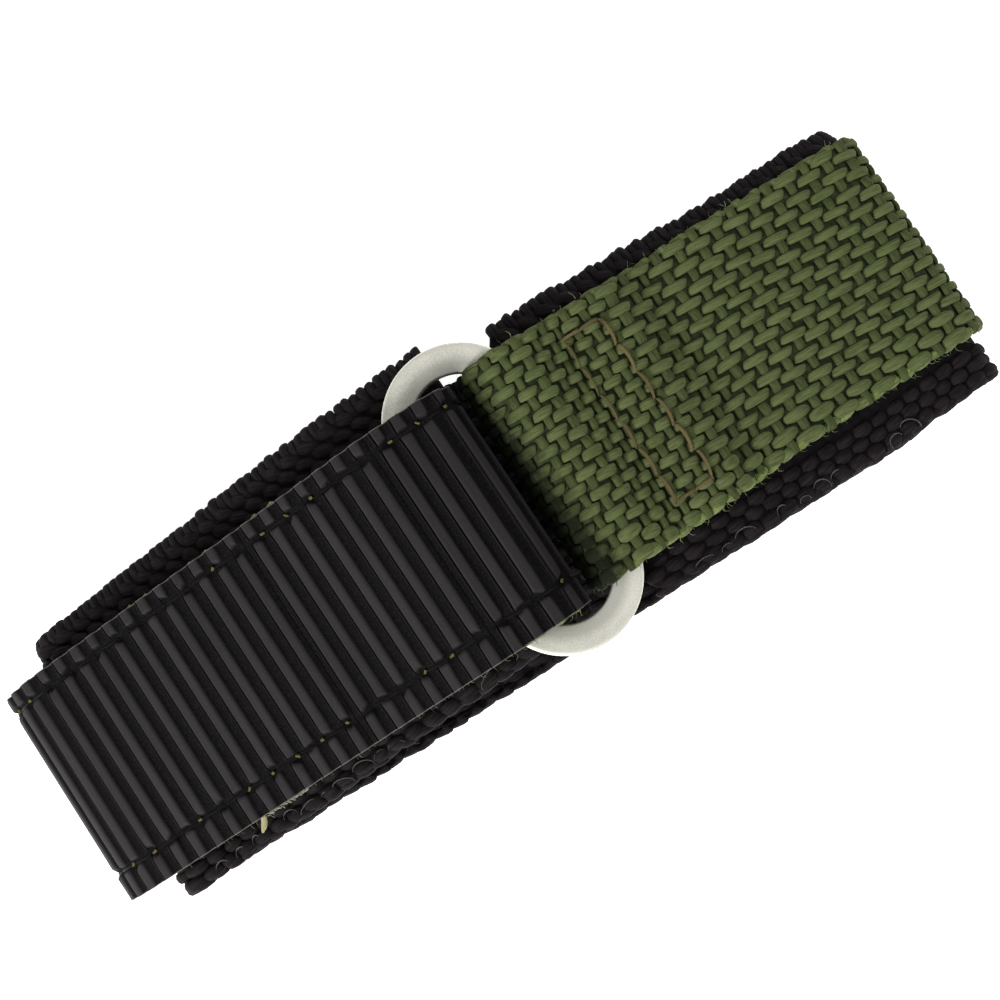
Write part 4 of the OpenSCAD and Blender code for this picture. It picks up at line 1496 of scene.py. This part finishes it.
class WATCHSTRAP_OT_fuzz(PieceOperator, bpy.types.Operator):
    """Add the loose fibres along the edges"""

    bl_idname = "watch_strap.fuzz"
    bl_label = "Loose fibres"

    def execute(self, context):
        z = sizes()
        lines = Workshop.lines
        tuft_x = -31.9 * MM
        place = lines.along_tail(tuft_x)
        tuft = [
            rows_piece(f"loose_{kind}", shape, material, Start=place + shift, Pitch=pitch, Count=count,
                       Centre=-z.strap_width / 2 - out, Height=0.35 * MM, Length=long, Round=thick,
                       Turn=-math.pi / 2 + turn, Turn_jitter=loose, Size_jitter=0.2, Seed=115)
            for kind, shape, material, shift, pitch, count, out, long, thick, turn, loose in (
                ("blob", "lump", "loose_fibre", 0.5 * MM, 0.2 * MM, 2, 0.45 * MM, 1.5 * MM, 0.36 * MM,
                 -0.65, 0.1),
                ("curls", "curl", "loose_fibre", 0.9 * MM, 0.25 * MM, 2, 0.15 * MM, 0.7 * MM, 0.07 * MM,
                 0.9, 0.4),
                ("edge", "lump", "frayed_edge", 1.6 * MM, 0.36 * MM, 11, 0.08 * MM, 0.6 * MM, 0.2 * MM,
                 1.2, 0.7),
            )
        ]
        joined("frayed_edge", tuft[2:])
        joined("loose_thread", tuft[:2])
        pitch = 0.45 * MM
        for route, material, half, length, start, end, seed, share in (
            ("strap", "green_fibre", z.strap_width / 2 - 0.2 * MM, 0.5 * MM, lines.under_s,
             lines.strap_length, 111, 0.5),
            ("pad", "grey_fibre", z.pad_width / 2 - 0.3 * MM, 0.7 * MM, 1.0 * MM, lines.pad_length, 113, 0.4),
        ):
            parts = [
                rows_piece(f"{route}_fuzz_{side}", "fibre", material, None, route, Start=start, Pitch=pitch,
                           Count=int((end - start - 1.0 * MM) / pitch), Centre=side * half,
                           Height=z.strap_thick * 0.6, Length=length, Round=0.025 * MM,
                           Turn=side * math.pi / 2, Turn_jitter=1.2, Tumble_jitter=0.5, Size_jitter=0.7,
                           Place_jitter=0.25 * MM, Share=share, Seed=seed + side)
                for side in (-1, 1)
            ]
            joined(f"{route}_fuzz", parts, "loop")
        return {"FINISHED"}


class WATCHSTRAP_OT_declare(PieceOperator, bpy.types.Operator):
    """Bake the tail pieces' places into their meshes, hide the model's nodes that the pieces stand for and
    remove the routes and shapes
    """

    bl_idname = "watch_strap.declare"
    bl_label = "Bodies and declarations"

    def execute(self, context):
        p = Workshop.pieces
        lines = Workshop.lines
        # The body before, the body after and the points between which the webbing bends, though only the name
        # is read here
        bends = {
            "middle": ("loop", "tail_middle", (-6.6 * MM, 0, 18.6 * MM), (-12.6 * MM, 0, 18.6 * MM)),
            "end": ("tail_middle", "tail_end", (-25.4 * MM, 0, 15.2 * MM), (-31.4 * MM, 0, 13.8 * MM)),
        }
        for name, (first, second, start, end) in bends.items():
            bending = ["loose_thread", "frayed_edge"] if name == "end" else []
            bending += [
                f"olive_tail_{name}", f"tail_selvedges_{name}", f"hook_ground_{name}", f"hooks_{name}",
                f"ribbed_tape_{name}_part", f"tape_seam_{name}_stitches", f"tape_seam_{name}_dots",
            ]
            for piece in bending:
                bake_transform(p[piece])
        stands_for = {
            "pad_webbing": "pad",
            "strap_webbing": "outer_strap",
            "oval_ring": "ring",
            "box_seam": "box_stitching",
            "pad_end_seam": "pad_end_stitching",
            "loop_tape_ground": "loop_tape",
            "loop_tape_seams": "loop_tape_stitching",
            "ribbed_tape_over_fold": "ribbed_tape_fold",
            "tape_seam_fold_stitches": "tape_stitching_fold",
        }
        for side in ("left", "right"):
            stands_for[f"seat_seams_{side}"] = f"seat_stitching_{side}"
        for part in ("middle", "end"):
            stands_for[f"olive_tail_{part}"] = f"tail_webbing_{part}"
            stands_for[f"ribbed_tape_{part}_part"] = f"ribbed_tape_{part}"
            stands_for[f"hook_ground_{part}"] = f"hook_tape_{part}"
            stands_for[f"tape_seam_{part}_stitches"] = f"tape_stitching_{part}"
        for piece, node in stands_for.items():
            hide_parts(node)
        for name, start, end in tail_parts()[::-1]:
            hook_length = min(end, lines.fold_s - HOOK_STOP) - start
            end - start
            end - start
        for helper in [*Workshop.routes.values(), *Workshop.shapes.values()]:
            bpy.data.objects.remove(helper)
        return {"FINISHED"}


def area_light(name, place, aim, size, power):
    """A soft white lamp that faces a point."""
    lamp = bpy.data.lights.new(name, "AREA")
    lamp.shape = "DISK"
    lamp.size = size
    lamp.energy = power
    made = new_object(name, lamp)
    made.location = place
    made.rotation_euler = (Vector(aim) - Vector(place)).to_track_quat("-Z", "Y").to_euler()


class WATCHSTRAP_OT_stage(PieceOperator, bpy.types.Operator):
    """Set the pale table, the soft lamps and the camera"""

    bl_idname = "watch_strap.stage"
    bl_label = "Stage"

    def execute(self, context):
        scene = context.scene
        g = scene.watch_strap_stage
        reach = 1.5
        corners = [(-reach, -reach, 0), (reach, -reach, 0), (reach, reach, 0), (-reach, reach, 0)]
        table = mesh_object("table", corners, [(0, 1, 2, 3)])
        lowest_yarn = 0.1 * MM
        table.location.z = -lowest_yarn
        material, tree, bsdf = shader("pale_table")
        for label, value in {
            "Base Color": (0.9, 0.9, 0.89, 1.0),
            "Roughness": 0.9,
            "Specular IOR Level": 0.0,
            "Emission Color": (1.0, 1.0, 0.985, 1.0),
            "Emission Strength": 0.62,
        }.items():
            bsdf.inputs[label].default_value = value
        table.data.materials.append(material)

        world = bpy.data.worlds.new("soft_studio")
        world.use_nodes = True
        background = world.node_tree.nodes["Background"]
        background.inputs["Color"].default_value = (1.0, 1.0, 1.0, 1.0)
        background.inputs["Strength"].default_value = 0.62
        scene.world = world
        aim = (0.0, 0.0, 12 * MM)
        area_light("key_lamp", (-0.34, -0.16, 0.26), aim, size=0.14, power=2.4)
        area_light("fill_lamp", (0.34, 0.06, 0.30), aim, size=0.30, power=0.58)
        scene.view_settings.view_transform = "Standard"

        level = math.cos(g.elevation)
        back = Vector((math.sin(g.azimuth) * level, -math.cos(g.azimuth) * level, math.sin(g.elevation)))
        right = Vector((0, 0, 1)).cross(back).normalized()
        up = back.cross(right)
        rolled_right = math.cos(g.roll) * right + math.sin(g.roll) * up
        rolled_up = -math.sin(g.roll) * right + math.cos(g.roll) * up
        eye = Vector((g.target_x, g.target_y, g.target_z)) + g.distance * back
        camera = new_object("camera", bpy.data.cameras.new("camera"))
        turned = Matrix((rolled_right, rolled_up, back)).transposed()
        camera.matrix_world = Matrix.Translation(eye) @ turned.to_4x4()
        camera.data.sensor_fit = "HORIZONTAL"
        camera.data.angle = 2 * math.atan(g.half_picture / g.focus)
        camera.data.clip_start = 5 * MM
        scene.camera = camera
        return {"FINISHED"}


class WATCHSTRAP_PT_panel(bpy.types.Panel):
    """Lists the strap's sizes, colours and steps"""

    bl_idname = "WATCHSTRAP_PT_panel"
    bl_label = "Watch strap"
    bl_space_type = "VIEW_3D"
    bl_region_type = "UI"
    bl_category = "Watch strap"

    def draw(self, context):
        for operator in OPERATORS:
            self.layout.operator(operator.bl_idname)
        for group in (sizes(), weave(), colours(), context.scene.watch_strap_stage):
            box = self.layout.box()
            for name in group.bl_rna.properties.keys():
                if name not in ("rna_type", "name"):
                    box.prop(group, name)


GROUPS = {
    "watch_strap_sizes": StrapSizes,
    "watch_strap_weave": WeaveSizes,
    "watch_strap_colours": StrapColours,
    "watch_strap_stage": StageSettings,
}
# In the order in which they stand above, which is the order of the work
OPERATORS = PieceOperator.__subclasses__()


def register():
    for name, group in GROUPS.items():
        bpy.utils.register_class(group)
        setattr(bpy.types.Scene, name, bpy.props.PointerProperty(type=group))
    for operator in OPERATORS:
        bpy.utils.register_class(operator)
    bpy.utils.register_class(WATCHSTRAP_PT_panel)


def unregister():
    bpy.utils.unregister_class(WATCHSTRAP_PT_panel)
    for operator in reversed(OPERATORS):
        bpy.utils.unregister_class(operator)
    for name, group in reversed(GROUPS.items()):
        delattr(bpy.types.Scene, name)
        bpy.utils.unregister_class(group)


def main():
    register()
    for operator in OPERATORS:
        module, name = operator.bl_idname.split(".")
        getattr(getattr(bpy.ops, module), name)()


if __name__ == "__main__":
    main()
